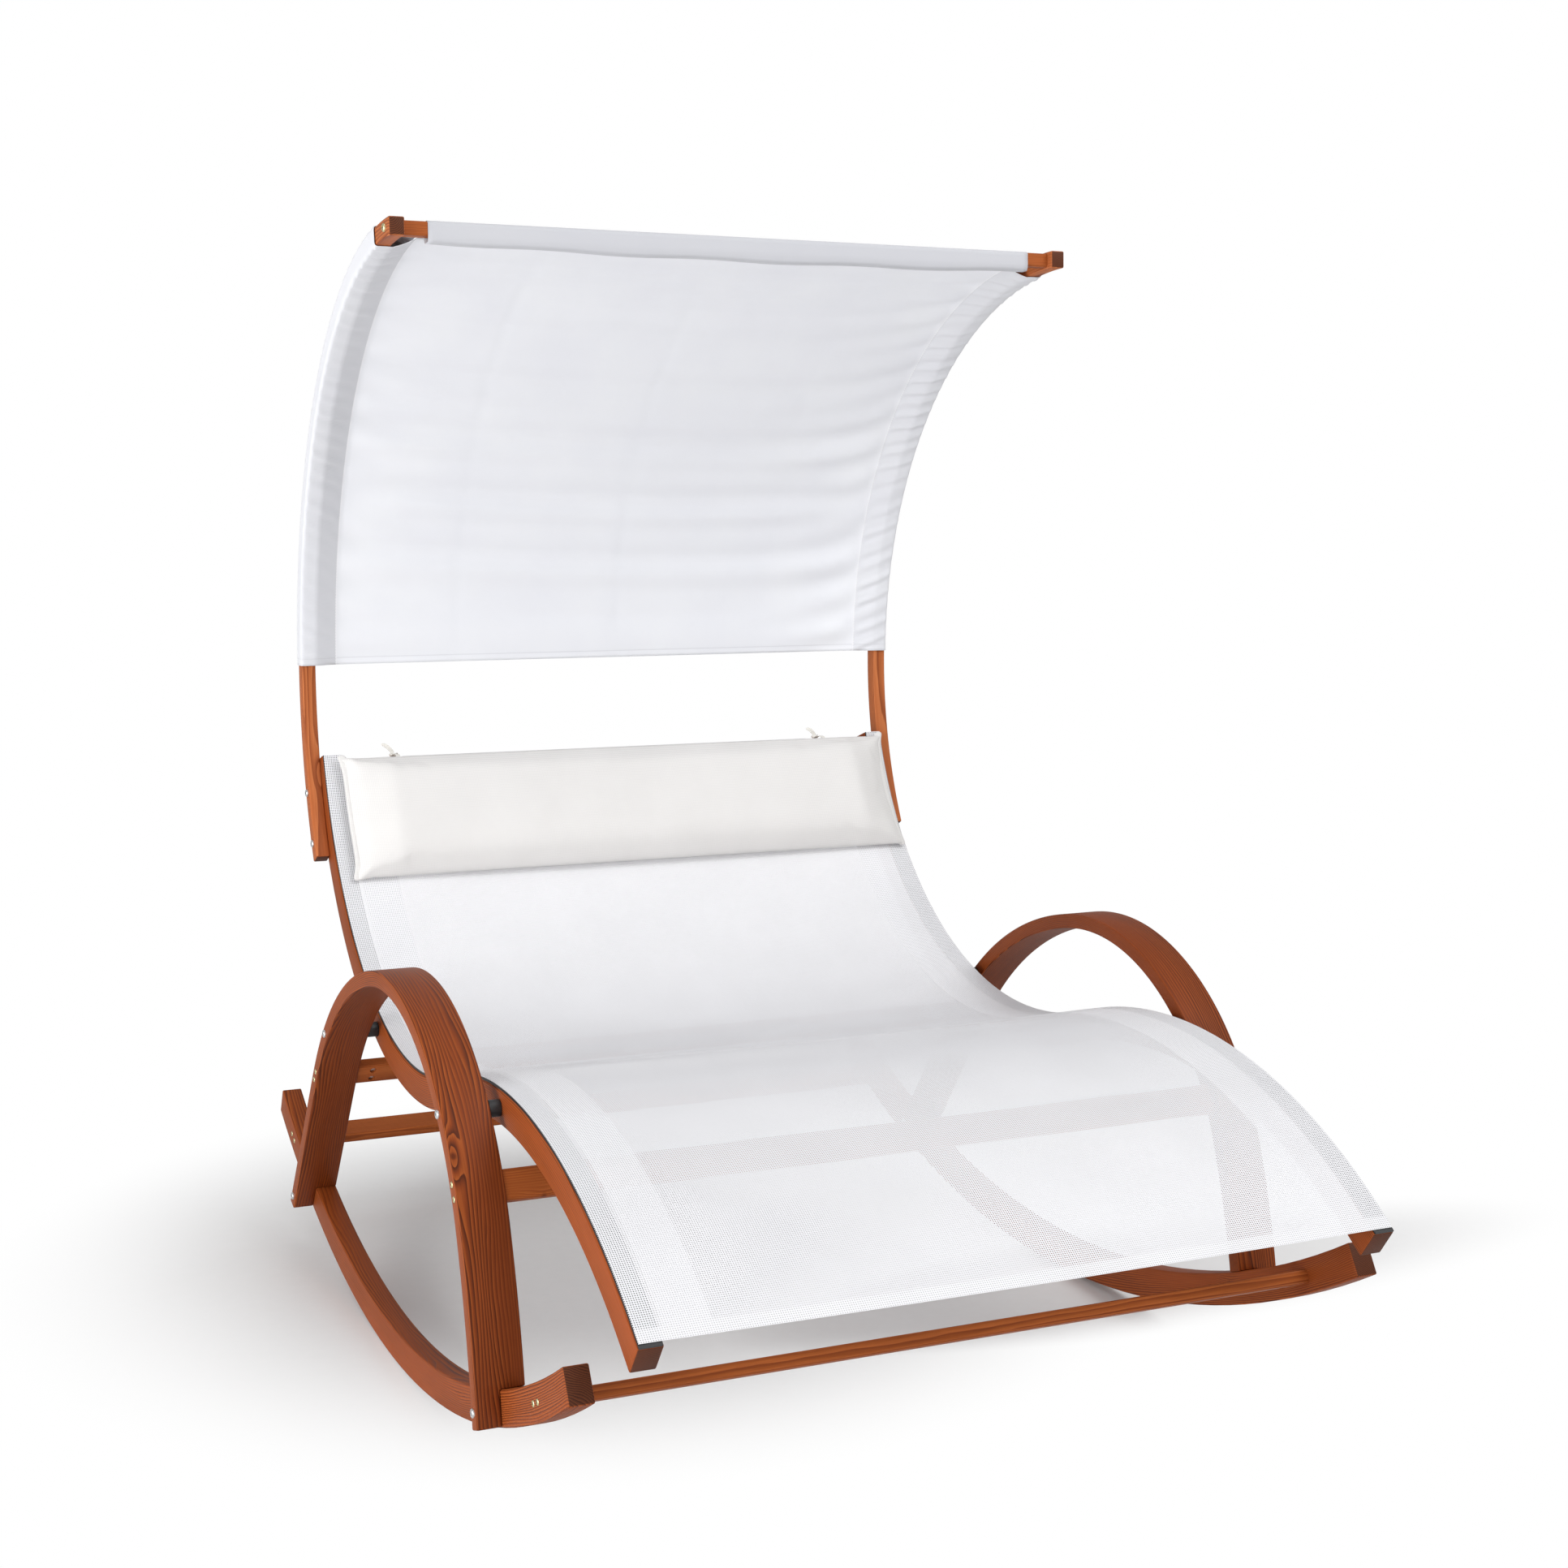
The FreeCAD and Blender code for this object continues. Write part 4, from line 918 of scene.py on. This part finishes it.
# %% Edge chains
def edge_chain(name, points):
    """A chain of edges through points; each point also stores how far along the chain it is."""
    bpy.ops.mesh.primitive_circle_add(vertices=len(points), radius=1, fill_type="NOTHING")
    chain = bpy.context.active_object
    chain.name = name
    ends = (0, len(points) - 1)
    start_edit(chain, lambda vertex: vertex.index in ends)
    bpy.ops.mesh.delete(type="EDGE")
    end_edit()
    along = chain.data.attributes.new("along", "FLOAT", "POINT")
    gone = 0.0
    before = Vector(points[0])
    for vertex, point, stored in zip(chain.data.vertices, points, along.data):
        gone += (Vector(point) - before).length
        before = Vector(point)
        vertex.co = point
        stored.value = gone
    return chain


def chain_across(name, half, columns, place):
    """A straight chain along X at one Y and Z."""
    return edge_chain(name, [(half * (2 * column / columns - 1), *place) for column in range(columns + 1)])


# %% Sling sheet
SLING_HALF = 0.629
SLING_LIFT = 0.0044
SLING_COLUMNS = 148
SLING_START = 0.006
BAR_DROP = 0.018

bar_axis = rail_line.at(rail_line.length - BAR_DROP, -RAIL_DEPTH / 2)[0]
sling_back = (BACK_RADIUS, BACK_TURN - degrees(BAR_DROP / BACK_RADIUS))
sling_line = Bend(rail_line.at(SLING_START)[0], RAIL_PITCH,
                  ((None, RAIL_LEAD - SLING_START), SEAT_BEND, sling_back))
sling = chain_across("sling_mesh", SLING_HALF, SLING_COLUMNS, sling_line.at(0.0, SLING_LIFT)[0])
start_edit(sling)
sweep_on(sling_line.runs)
end_edit()
print("sling swept,", len(sling.data.vertices), "points")

# %% Sleeve of the sling
SLEEVE_HALF = 0.462
SLEEVE_RADIUS = 0.0155
SLEEVE_TURN = radians(352)
SLEEVE_STEPS = 30
STRIP_EDGE = RAIL_INNER - 0.004
END_PLAY = 0.0005

leave = sling_line.at(sling_line.length, SLING_LIFT)[0]
reach = leave - bar_axis
touch_angle = atan2(reach.y, reach.x) - acos(SLEEVE_RADIUS / reach.length)
touch = bar_axis + SLEEVE_RADIUS * aim(touch_angle)


def at_upper_end(vertex):
    return (vertex.co.yz - leave).length < END_PLAY


start_edit(sling, lambda vertex: at_upper_end(vertex) and abs(vertex.co.x) < SLEEVE_HALF)
pull((0, *(touch - leave)))
spin(SLEEVE_STEPS, SLEEVE_TURN, bar_axis)
end_edit()
start_edit(sling, lambda vertex: at_upper_end(vertex) and abs(vertex.co.x) > STRIP_EDGE)
spin(3, BAR_DROP / BACK_RADIUS, sling_line.runs[-1]["centre"])
end_edit()
print("sleeve added,", len(sling.data.vertices), "points")

# %% Sling sag and weave
SLING_THICK = 0.0005
SLING_SAG = 0.006
HELD_RUN = 0.3
SLEEVE_PLAY = 0.003

weave = sling.data.attributes.new("weave", "FLOAT_VECTOR", "POINT")
for vertex, stored in zip(sling.data.vertices, weave.data):
    offset = vertex.co.yz - bar_axis
    if offset.length < SLEEVE_RADIUS + SLEEVE_PLAY:
        angle = (touch_angle - atan2(offset.y, offset.x)) % (2 * pi)
        stored.vector = (vertex.co.x, sling_line.length - angle * SLEEVE_RADIUS, 0.0)
        continue
    travel = sling_line.unbend(vertex.co.yz)[0]
    stored.vector = (vertex.co.x, travel, 0.0)
    heading = sling_line.at(min(travel, sling_line.length))[1]
    share = max(0.0, 1 - (vertex.co.x / STRIP_EDGE) ** 2)
    held = min(1.0, max(0.0, (sling_line.length - travel) / HELD_RUN))
    sink = SLING_SAG * share * held
    vertex.co.y += sin(heading) * sink
    vertex.co.z -= cos(heading) * sink
use_modifier(sling, "SOLIDIFY", thickness=SLING_THICK, offset=0.0)
smooth(sling, 40)
print("sling thickened,", len(sling.data.polygons), "faces")

# %% Sling material
PITCH = 0.0036
HOLE = 0.236
HOLE_EDGE = 0.03
HEM_FROM = 0.512
HEM_TO = 0.588
FRONT_HEM = 0.024
DOUBLED_OPEN = 0.55
SEAM_BLUR = 0.003
EDGE_BLUR = 0.001
FRONT_BLUR = 0.002
SLING_MOTTLE = 7.0


def gap(value, mark):
    """How far a value is from a mark."""
    return calc("ABSOLUTE", calc("SUBTRACT", value, mark))


def from_middle(value, pitch):
    """How far a value is from the middle of its hole, in shares of the pitch."""
    return gap(calc("FRACT", calc("DIVIDE", value, pitch)), 0.5)


sling_cloth, shader, place = new_material("sling_cloth", "weave")
parts = add("SeparateXYZ", None, {0: place}).outputs
wide = calc("MAXIMUM", from_middle(parts["X"], PITCH), from_middle(parts["Y"], PITCH))
hole = step_down(wide, HOLE - HOLE_EDGE, HOLE + HOLE_EDGE)
beside = calc("ABSOLUTE", parts["X"])
past_seam = step_up(beside, HEM_FROM, HEM_FROM + SEAM_BLUR)
before_edge = step_down(beside, HEM_TO - EDGE_BLUR, HEM_TO + EDGE_BLUR)
in_front_hem = step_down(parts["Y"], FRONT_HEM - FRONT_BLUR, FRONT_HEM)
doubled = calc("MAXIMUM", calc("MULTIPLY", before_edge, past_seam), in_front_hem)
open_share = calc("MULTIPLY", hole, spread(doubled, 1.0, DOUBLED_OPEN))
link(calc("SUBTRACT", 1.0, open_share), shader.inputs["Alpha"])
mottle = noise(place, SLING_MOTTLE, 3.0)[0]
dress(shader, two_tone(mottle, seen(225, 225, 228), seen(229, 229, 232)),
      spread(mottle, 0.45, 0.6), (calc("SUBTRACT", 1.0, wide), 0.35, 0.0008))
stand_for(sling, "frame", "sling_mesh", "seat_sling", sling_cloth)

# %% [markdown]
# ## Canopy
#
# The canopy is one cloth. Each side is folded round a post and stitched back on itself 45 mm inside the
# post, which makes a sleeve. Its cross-section is drawn once as a chain of edges and spun round the
# centre of the posts' circle. Every point is then pushed in or out by a few millimetres: broad waves
# over the whole width, short drag folds that fade away from the stitching, and slanted puckers
# on the sleeves.

# %% Canopy section
STITCH = RAIL_OUTER - 0.045
STITCH_GAP = 0.0012
SLEEVE_FOLD = 0.0185
SLEEVE_ROUND = 0.006
INNER_PLAY = 0.002
OUTER_PLAY = 0.0025
UPPER_SHIFT = 0.002
MIDDLE_COLUMNS = 110


def sleeve_corner(x, r, start):
    """Points on a quarter turn round a corner of the sleeve, as X and radius, without the first."""
    points = []
    for step in range(1, 5):
        angle = radians(start - 90 * step / 4)
        points.append((x + SLEEVE_ROUND * cos(angle), r + SLEEVE_ROUND * sin(angle)))
    return points


def evenly(first, last, count):
    """Points between two others, without the first."""
    return [tuple(a + (b - a) * step / count for a, b in zip(first, last)) for step in range(1, count + 1)]


inside = RAIL_OUTER - INNER_PLAY
outside = POST_OUTER + OUTER_PLAY
deep = POST_RADIUS - SLEEVE_FOLD
high = POST_RADIUS + SLEEVE_FOLD
stitched = POST_RADIUS - STITCH_GAP
sleeve = [(STITCH + UPPER_SHIFT, POST_RADIUS + STITCH_GAP)]
sleeve += evenly(sleeve[-1], (inside, high), 9)
sleeve += evenly(sleeve[-1], (outside - SLEEVE_ROUND, high), 4)
sleeve += sleeve_corner(outside - SLEEVE_ROUND, high - SLEEVE_ROUND, 90)
sleeve += evenly(sleeve[-1], (outside, deep + SLEEVE_ROUND), 5)
sleeve += sleeve_corner(outside - SLEEVE_ROUND, deep + SLEEVE_ROUND, 0)
sleeve += evenly(sleeve[-1], (inside, deep), 4)
sleeve += evenly(sleeve[-1], (STITCH, stitched), 9)
middle_part = evenly((STITCH, stitched), (-STITCH, stitched), MIDDLE_COLUMNS)
section = sleeve + middle_part + [(-x, r) for x, r in reversed(sleeve)][1:]
print("canopy section of", len(section), "points")

# %% Canopy sheet
CLOTH_LOW = high_angle + radians(18.7)
CLOTH_HIGH = high_angle + radians(99.7)
CANOPY_STEPS = 190

canopy = edge_chain("canopy_cloth_sheet", [(x, *on_canopy(CLOTH_LOW, r)) for x, r in section])
start_edit(canopy)
spin(CANOPY_STEPS, CLOTH_HIGH - CLOTH_LOW, canopy_centre)
end_edit()
print("canopy spun,", len(canopy.data.vertices), "points")

# %% Fold helpers
WAVE = 0.0050
BROAD_WAVE = 0.125
SHORT_WAVE = 0.071
DRAG = 0.0035
DRAG_WAVE = 0.083
DRAG_REACH = 0.05
PUCKER = 0.0022
PUCKER_WAVE = 0.037
PUCKER_SLANT = 0.075
PUCKER_START = 0.012
OUTER_SHARE = 0.35
SINK_ON_POST = 0.0008
SINK_BESIDE = 0.003
LEAST_FOLD = 0.35
SLACK_PLACE = 0.42
SLACK_SPREAD = 0.27
CANOPY_SAG = 0.008
CREASES = (-0.33, 0.02, 0.36)
CREASE_PUSH = 0.0009
CREASE_WIDTH = 0.005
DIP = 0.03


def middle_push(x, along, share):
    """How far the cloth between the sleeves is pushed outward. Odd factors keep folds from repeating."""
    level = along + DIP * (1 - (x / STITCH) ** 2)
    roll = 2 * pi * level / BROAD_WAVE + 0.8 * sin(5.3 * level) + 0.5 * sin(3.1 * x + 0.4)
    broad = sin(roll + 0.5 * sin(roll))
    broad += 0.5 * sin(2 * pi * level / SHORT_WAVE + 1.6 * sin(2.3 * x - 1.0))
    calm = 1 - (abs(x) / STITCH) ** 6
    slack = LEAST_FOLD + (1 - LEAST_FOLD) * exp(-((share - SLACK_PLACE) / SLACK_SPREAD) ** 2)
    push = WAVE * broad * calm * slack
    for edge, strength in ((STITCH, 1.0), (-STITCH, 0.6)):
        off = abs(edge - x)
        fold = sin(2 * pi * along / DRAG_WAVE + 13 * off + 1.2 * sin(9 * along))
        push += DRAG * strength * fold * (off / DRAG_REACH) * exp(1 - off / DRAG_REACH)
    for crease in CREASES:
        push += CREASE_PUSH * exp(-((x - crease) / CREASE_WIDTH) ** 2)
    return push - CANOPY_SAG * calm * sin(pi * min(1.0, share * 1.1))


def sleeve_push(x, along):
    """How far the cloth of a sleeve is pushed away from the post."""
    off = abs(x) - STITCH
    pleat = 2 * pi * (along / PUCKER_WAVE - off / PUCKER_SLANT) + 2.0 * sin(11 * along)
    slant = sin(pleat + 0.6 * sin(pleat)) + 0.4 * sin(1.7 * pleat + 3 * along)
    slant *= LEAST_FOLD + (1 - LEAST_FOLD) * sin(5.7 * along + copysign(1.1, x)) ** 2
    puff = PUCKER * slant * min(1.0, off / PUCKER_START) * (OUTER_SHARE if abs(x) > POST_OUTER else 1.0)
    return max(puff, -SINK_ON_POST if abs(x) > inside else -SINK_BESIDE)


# %% Canopy folds
CANOPY_THICK = 0.0008

weave = canopy.data.attributes.new("weave", "FLOAT_VECTOR", "POINT")
section_places = canopy.data.attributes["along"].data
for vertex in canopy.data.vertices:
    x = vertex.co.x
    spot = vertex.co.yz
    out = (spot - canopy_centre).normalized()
    angle = canopy_angle(spot)
    along = (angle - CLOTH_LOW) * POST_RADIUS
    if abs(x) < STITCH:
        push = middle_push(x, along, (angle - CLOTH_LOW) / (CLOTH_HIGH - CLOTH_LOW))
    else:
        push = sleeve_push(x, along) * (1 if (spot - canopy_centre).length > POST_RADIUS else -1)
    vertex.co = (x, *(spot + out * push))
    weave.data[vertex.index].vector = (section_places[vertex.index].value, along, x)
use_modifier(canopy, "SOLIDIFY", thickness=CANOPY_THICK, offset=0.0)
bpy.ops.object.shade_smooth()
print("canopy folded,", len(canopy.data.polygons), "faces")

# %% Canopy material
CANOPY_YARN = (900.0, 420.0, 0.0)
CANOPY_GLOW = 0.2
FRONT_MARK = 0.75
THREAD_PITCH = 0.006
HEM_PLACE = 0.014
THREAD_EDGE = (0.0008, 0.0018)
DASH_EDGE = (0.32, 0.38)
HEM_EDGE = (0.0006, 0.0016)
SLEEVE_TONE = (0.76, 0.76, 0.77)
ON_BAR_TONE = (0.77, 0.77, 0.78)
CANOPY_MOTTLE = 5.0

canopy_fabric, shader, place = new_material("canopy_fabric", "weave")
parts = add("SeparateXYZ", None, {0: place}).outputs
yarn = noise(place, CANOPY_YARN)[0]
mottle = noise(place, CANOPY_MOTTLE, 3.0)[0]
beside = calc("ABSOLUTE", parts["Z"])
stitch_line = step_down(gap(beside, STITCH), *THREAD_EDGE)
dash = step_down(from_middle(parts["Y"], THREAD_PITCH), *DASH_EDGE)
seam = calc("MULTIPLY", stitch_line, dash)
# painted shade: a thin line along the hem's fold, also pressed in as a groove
hem_shade_line = step_down(gap(parts["Y"], HEM_PLACE), *HEM_EDGE)
sewn = calc("MAXIMUM", seam, hem_shade_line)
in_sleeve = step_up(beside, STITCH, STITCH + 0.001)
on_bar = step_up(beside, FRONT_MARK - 0.01, FRONT_MARK)
single = two_tone(mottle, seen(240, 241, 245), seen(243, 244, 247))
tone = mixed("MULTIPLY", in_sleeve, single, SLEEVE_TONE)
tone = mixed("MULTIPLY", on_bar, tone, ON_BAR_TONE)
# painted shade: the hem line is mixed towards grey
tone = mixed("MIX", calc("MULTIPLY", hem_shade_line, 0.3), tone, seen(190, 190, 195))
tone = mixed("MIX", calc("MULTIPLY", seam, 0.8), tone, seen(248, 248, 250))
relief = calc("SUBTRACT", calc("MULTIPLY", yarn, 0.2), sewn)
dress(shader, tone, spread(mottle, 0.75, 0.9), (relief, 0.2, 0.0006))
shader.inputs["Specular IOR Level"].default_value = 0.25
shader.inputs["Sheen Weight"].default_value = 0.15
lit_through = add("BsdfTranslucent", None, {"Color": single})
blend_in(shader, lit_through, spread(in_sleeve, CANOPY_GLOW, 0.0))
stand_for(canopy, "frame", "canopy_fabric", "canopy_cloth", canopy_fabric)

# %% [markdown]
# ## Front sleeve of the canopy
#
# The front edge of the cloth is folded round the canopy bar. The fold is looser than the bar, so it
# hangs below it in a flat loop. It is a chain of edges along the bar, extruded step by step round
# the loop.

# %% Front sleeve
BAR_ANGLE = high_angle + radians(104.25)
BAR_SIDE = 0.025
FRONT_HALF = 0.588
FRONT_COLUMNS = 120
FRONT_LAP = radians(0.5)
LOOP_PLAY = 0.0016
LOOP_START = 200
LOOP_ROUND = 1.22
LOOP_HANG = 1.55


def loop_point(turn):
    """A point on the loose square loop round the bar, at an angle in degrees."""
    angle = radians(turn + LOOP_START)
    square = 1 / max(abs(cos(angle)), abs(sin(angle)))
    reach_out = (BAR_SIDE / 2 + LOOP_PLAY) * min(square, LOOP_ROUND)
    along = reach_out * cos(angle)
    out = reach_out * sin(angle)
    if out < 0:
        out *= LOOP_HANG
    return on_canopy(BAR_ANGLE + along / POST_RADIUS, POST_RADIUS + out)


steps = [on_canopy(CLOTH_HIGH - FRONT_LAP)] + [loop_point(turn) for turn in range(0, 361, 15)]
front = chain_across("canopy_front_sleeve", FRONT_HALF, FRONT_COLUMNS, steps[0])
start_edit(front)
for before, after in zip(steps, steps[1:]):
    pull((0, *(after - before)))
end_edit()
print("front sleeve of", len(front.data.polygons), "faces")

# %% Front sleeve hung
HANG_FROM = 0.014
HANG_SAG = 0.006
HANG_WAVE = 0.0015
HANG_RATE = 21

weave = front.data.attributes.new("weave", "FLOAT_VECTOR", "POINT")
for vertex, stored in zip(front.data.vertices, weave.data):
    x = vertex.co.x
    spot = vertex.co.yz
    stored.vector = (x, (canopy_angle(spot) - CLOTH_LOW) * POST_RADIUS, FRONT_MARK)
    arm = spot - canopy_centre
    if POST_RADIUS - arm.length > HANG_FROM:
        sag = HANG_SAG * (1 - (x / FRONT_HALF) ** 2) + HANG_WAVE * sin(HANG_RATE * x)
        vertex.co = (x, *(spot - arm.normalized() * sag))
use_modifier(front, "SOLIDIFY", thickness=CANOPY_THICK, offset=0.0)
bpy.ops.object.shade_smooth()
front.data.materials.append(canopy_fabric)
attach(front, "frame")
print("front sleeve hung,", len(front.data.polygons), "faces")

# %% [markdown]
# ## Head pillow
#
# The CAD pillow is a plain crowned form. A copy is remeshed to small even faces and blown up a little by
# the cloth solver, so that its faces round out and the seams hold it in, as filling does.

# %% Pillow form
PILLOW_VOXEL = 0.0065
PILLOW_EASE = 0.0025

shells = sorted(loose_parts("head_pillow"), key=lambda shell: shell.dimensions.x)
pick(*shells[:-1])
bpy.ops.object.delete()
pillow = shells[-1]
pillow.name = "pillow_cushion"
start_edit(pillow)
bpy.ops.mesh.normals_make_consistent(inside=False)
bpy.ops.transform.shrink_fatten(value=PILLOW_EASE)
end_edit()
pillow.data.materials.clear()
use_modifier(pillow, "REMESH", mode="VOXEL", voxel_size=PILLOW_VOXEL, use_smooth_shade=True)
use_modifier(pillow, "SMOOTH", factor=0.5, iterations=16)
print("pillow remeshed,", len(pillow.data.vertices), "points")

# %% Pillow blown up
PRESSURE = 4.0
FILLING_FRAMES = 20
PILLOW_LIMIT = 0.007

rest_places = [vertex.co.copy() for vertex in pillow.data.vertices]
pick(pillow)
cloth = pillow.modifiers.new("filling", "CLOTH")
cloth.settings.quality = 5
cloth.settings.use_pressure = True
cloth.settings.uniform_pressure_force = PRESSURE
cloth.settings.effector_weights.gravity = 0.0
for number in range(1, FILLING_FRAMES + 1):
    bpy.context.scene.frame_set(number)
bpy.ops.object.modifier_apply(modifier="filling")
for vertex, rest in zip(pillow.data.vertices, rest_places):
    moved = vertex.co - rest
    if moved.length > PILLOW_LIMIT:
        vertex.co = rest + moved * (PILLOW_LIMIT / moved.length)
bpy.context.scene.frame_set(1)
print("pillow filled,", len(pillow.data.polygons), "faces")

# %% [markdown]
# The filled pillow hangs from its top seam, so it sits a little low and its bottom edge leans back on the
# sling. Each end has a flat flange where both covers are sewn together past the filling.

# %% Pillow helpers
PILLOW_HALF = 0.617
PILLOW_SHIFT = 0.009
PILLOW_HEIGHT = 0.270
PILLOW_RISE = 0.013
PILLOW_DRAW = 0.011
PILLOW_SPAN = (0.03, 1.03)
SEAM_LIFT = 0.0235
LEAN = 0.011
LEAN_FROM = 0.86


def on_pillow(x, share, lift):
    """A place so far across, so far down from the top seam and so far off the sling's line."""
    lean = max(0.0, (share - LEAN_FROM) / (PILLOW_SPAN[1] - LEAN_FROM)) ** 2 * LEAN
    travel = rail_line.length - BAR_DROP + PILLOW_RISE - share * PILLOW_HEIGHT
    return Vector((x, *rail_line.at(travel, lift - lean)[0]))


def flange_place(share, side):
    """A place on the outer edge of an end flange."""
    half = PILLOW_HALF - PILLOW_DRAW * (1 - (2 * share / PILLOW_SPAN[1] - 1) ** 6)
    return on_pillow(PILLOW_SHIFT + side * half, share, SEAM_LIFT)


def ribbon(name, points, across, thick):
    """A flat tape through points, as wide as a vector."""
    strip = edge_chain(name, points)
    start_edit(strip)
    pull(across)
    end_edit()
    use_modifier(strip, "SUBSURF", levels=2, render_levels=2)
    use_modifier(strip, "SOLIDIFY", thickness=thick, offset=0.0)
    return strip


# %% Pillow hung up
FLANGE_WIDTH = 0.018
FLANGE_THICK = 0.0024
FLANGE_STEPS = 20

unbent = [rail_line.unbend(vertex.co.yz) for vertex in pillow.data.vertices]
upper = max(travel for travel, lift in unbent)
lower = min(travel for travel, lift in unbent)
for vertex, (travel, lift) in zip(pillow.data.vertices, unbent):
    share = PILLOW_SPAN[0] + (upper - travel) / (upper - lower) * (PILLOW_SPAN[1] - PILLOW_SPAN[0])
    vertex.co = on_pillow(vertex.co.x, share, lift)
use_modifier(pillow, "SUBSURF", levels=1, render_levels=1)
flanges = []
for name, side in SIDES:
    edge = [flange_place(PILLOW_SPAN[1] * step / FLANGE_STEPS, side) for step in range(FLANGE_STEPS + 1)]
    flanges.append(ribbon(f"{name}_flange", edge, (-side * FLANGE_WIDTH, 0, 0), FLANGE_THICK))
pick(*flanges, pillow)
bpy.ops.object.join()
bpy.ops.object.shade_smooth()
print("pillow hung up,", len(pillow.data.polygons), "faces")

# %% Pillow material
YARN_ACROSS = 0.0034
YARN_UP = 0.0032
PIT_EDGE = (0.2, 0.3)
PIT_SHADE_TONE = (0.6, 0.6, 0.62)
PIT_SHADE_SHARE = 0.32
PILLOW_MOTTLE = 9.0

pillow_fabric, shader, place = new_material("pillow_fabric")
parts = add("SeparateXYZ", None, {0: place}).outputs
yarn = calc("MAXIMUM", from_middle(parts["X"], YARN_ACROSS), from_middle(parts["Z"], YARN_UP))
pit = step_down(yarn, *PIT_EDGE)
mottle = noise(place, PILLOW_MOTTLE, 3.0)[0]
cover = two_tone(mottle, seen(219, 217, 215), seen(223, 221, 219))
# painted shade: the pits between the yarns are darkened
cover = mixed("MULTIPLY", calc("MULTIPLY", pit, PIT_SHADE_SHARE), cover, PIT_SHADE_TONE)
dress(shader, cover, spread(mottle, 0.55, 0.7), (calc("SUBTRACT", 1.0, pit), 0.25, 0.0006))
stand_for(pillow, "pillow", "pillow_fabric", "head_pillow", pillow_fabric)

# %% [markdown]
# ## Ties
#
# Two tapes hold the pillow to the top bar. Each is sewn into the pillow's top seam, goes once round the
# bar and ends in a knot with a long and a short loose end.

# %% Tape material
TAPE_RIBS = 260.0

tape, shader, place = new_material("tie_tape")
rib = add("TexWave", {"bands_direction": "X"}, {"Vector": place, "Scale": TAPE_RIBS}).outputs["Fac"]
# painted shade: the grooves between the ribs are drawn darker than the rib tops
dress(shader, ramp(rib, ((0.2, seen(214, 211, 204)), (0.8, seen(236, 234, 228)))),
      spread(rib, 0.7, 0.85), (rib, 0.3, 0.0004))
print("tape material made")

# %% Ties
TIE_PLACE = 0.480
TIE_WIDTH = 0.009
TAPE_THICK = 0.0012
BAND_RADIUS = 0.0154
TONGUE = ((0.0010, 0.053), (0.0085, 0.047), (0.0148, 0.030), (0.0156, 0.012))
TAILS = {"left": ((0, 0.019, 0.002), (-0.006, 0.028, 0.003), (-0.013, 0.037, 0), (-0.021, 0.043, -0.006)),
         "right": ((0, 0.019, 0.002), (-0.005, 0.025, 0.004), (-0.011, 0.033, 0.004), (-0.019, 0.037, 0))}
SHORT_TAIL = ((0.002, 0.018, 0), (0.006, 0.023, -0.006), (0.009, 0.022, -0.013), (0.011, 0.015, -0.018))
TAIL_ACROSS = (0.006, 0.005, 0.001)
SHORT_ACROSS = (0.007, 0.003, 0.001)
KNOT_PLACE = (0.019, 0.003)
KNOT_RADIUS = 0.0055
KNOT_SCALE = (1.25, 0.9, 0.75)

bar_heading = rail_line.at(rail_line.length - BAR_DROP)[1]


def by_bar(x, up, out):
    """A place near the top bar: across, up along the back and out towards the sitter."""
    ahead = aim(bar_heading)
    return Vector((x, *(bar_axis + ahead * up + ahead.orthogonal() * out)))


def loose_end(name, x, places, across):
    """A loose end of tape through places near the bar."""
    return ribbon(name, [by_bar(x + aside, up, out) for aside, up, out in places],
                  by_bar(*across) - by_bar(0, 0, 0), TAPE_THICK)


for name, side in SIDES:
    x = side * TIE_PLACE
    edge = x - TIE_WIDTH / 2
    path = [by_bar(edge, up, out) for up, out in TONGUE]
    for turn in range(90, 451, 15):
        angle = radians(turn)
        path.append(by_bar(edge, BAND_RADIUS * sin(angle), BAND_RADIUS * cos(angle)))
    band = ribbon("band", path, (TIE_WIDTH, 0, 0), TAPE_THICK)
    tail = loose_end("tail", x, TAILS[name], TAIL_ACROSS)
    short = loose_end("short", x, SHORT_TAIL, SHORT_ACROSS)
    bpy.ops.mesh.primitive_uv_sphere_add(
        segments=20, ring_count=12, radius=KNOT_RADIUS, location=by_bar(x, *KNOT_PLACE))
    pick(tail, short, settle("knot", KNOT_SCALE), band)
    bpy.ops.object.join()
    band.name = f"{name}_tie_tape"
    smooth(band, 50)
    stand_for(band, "pillow", "tie_tape", f"{name}_pillow_tie", tape)
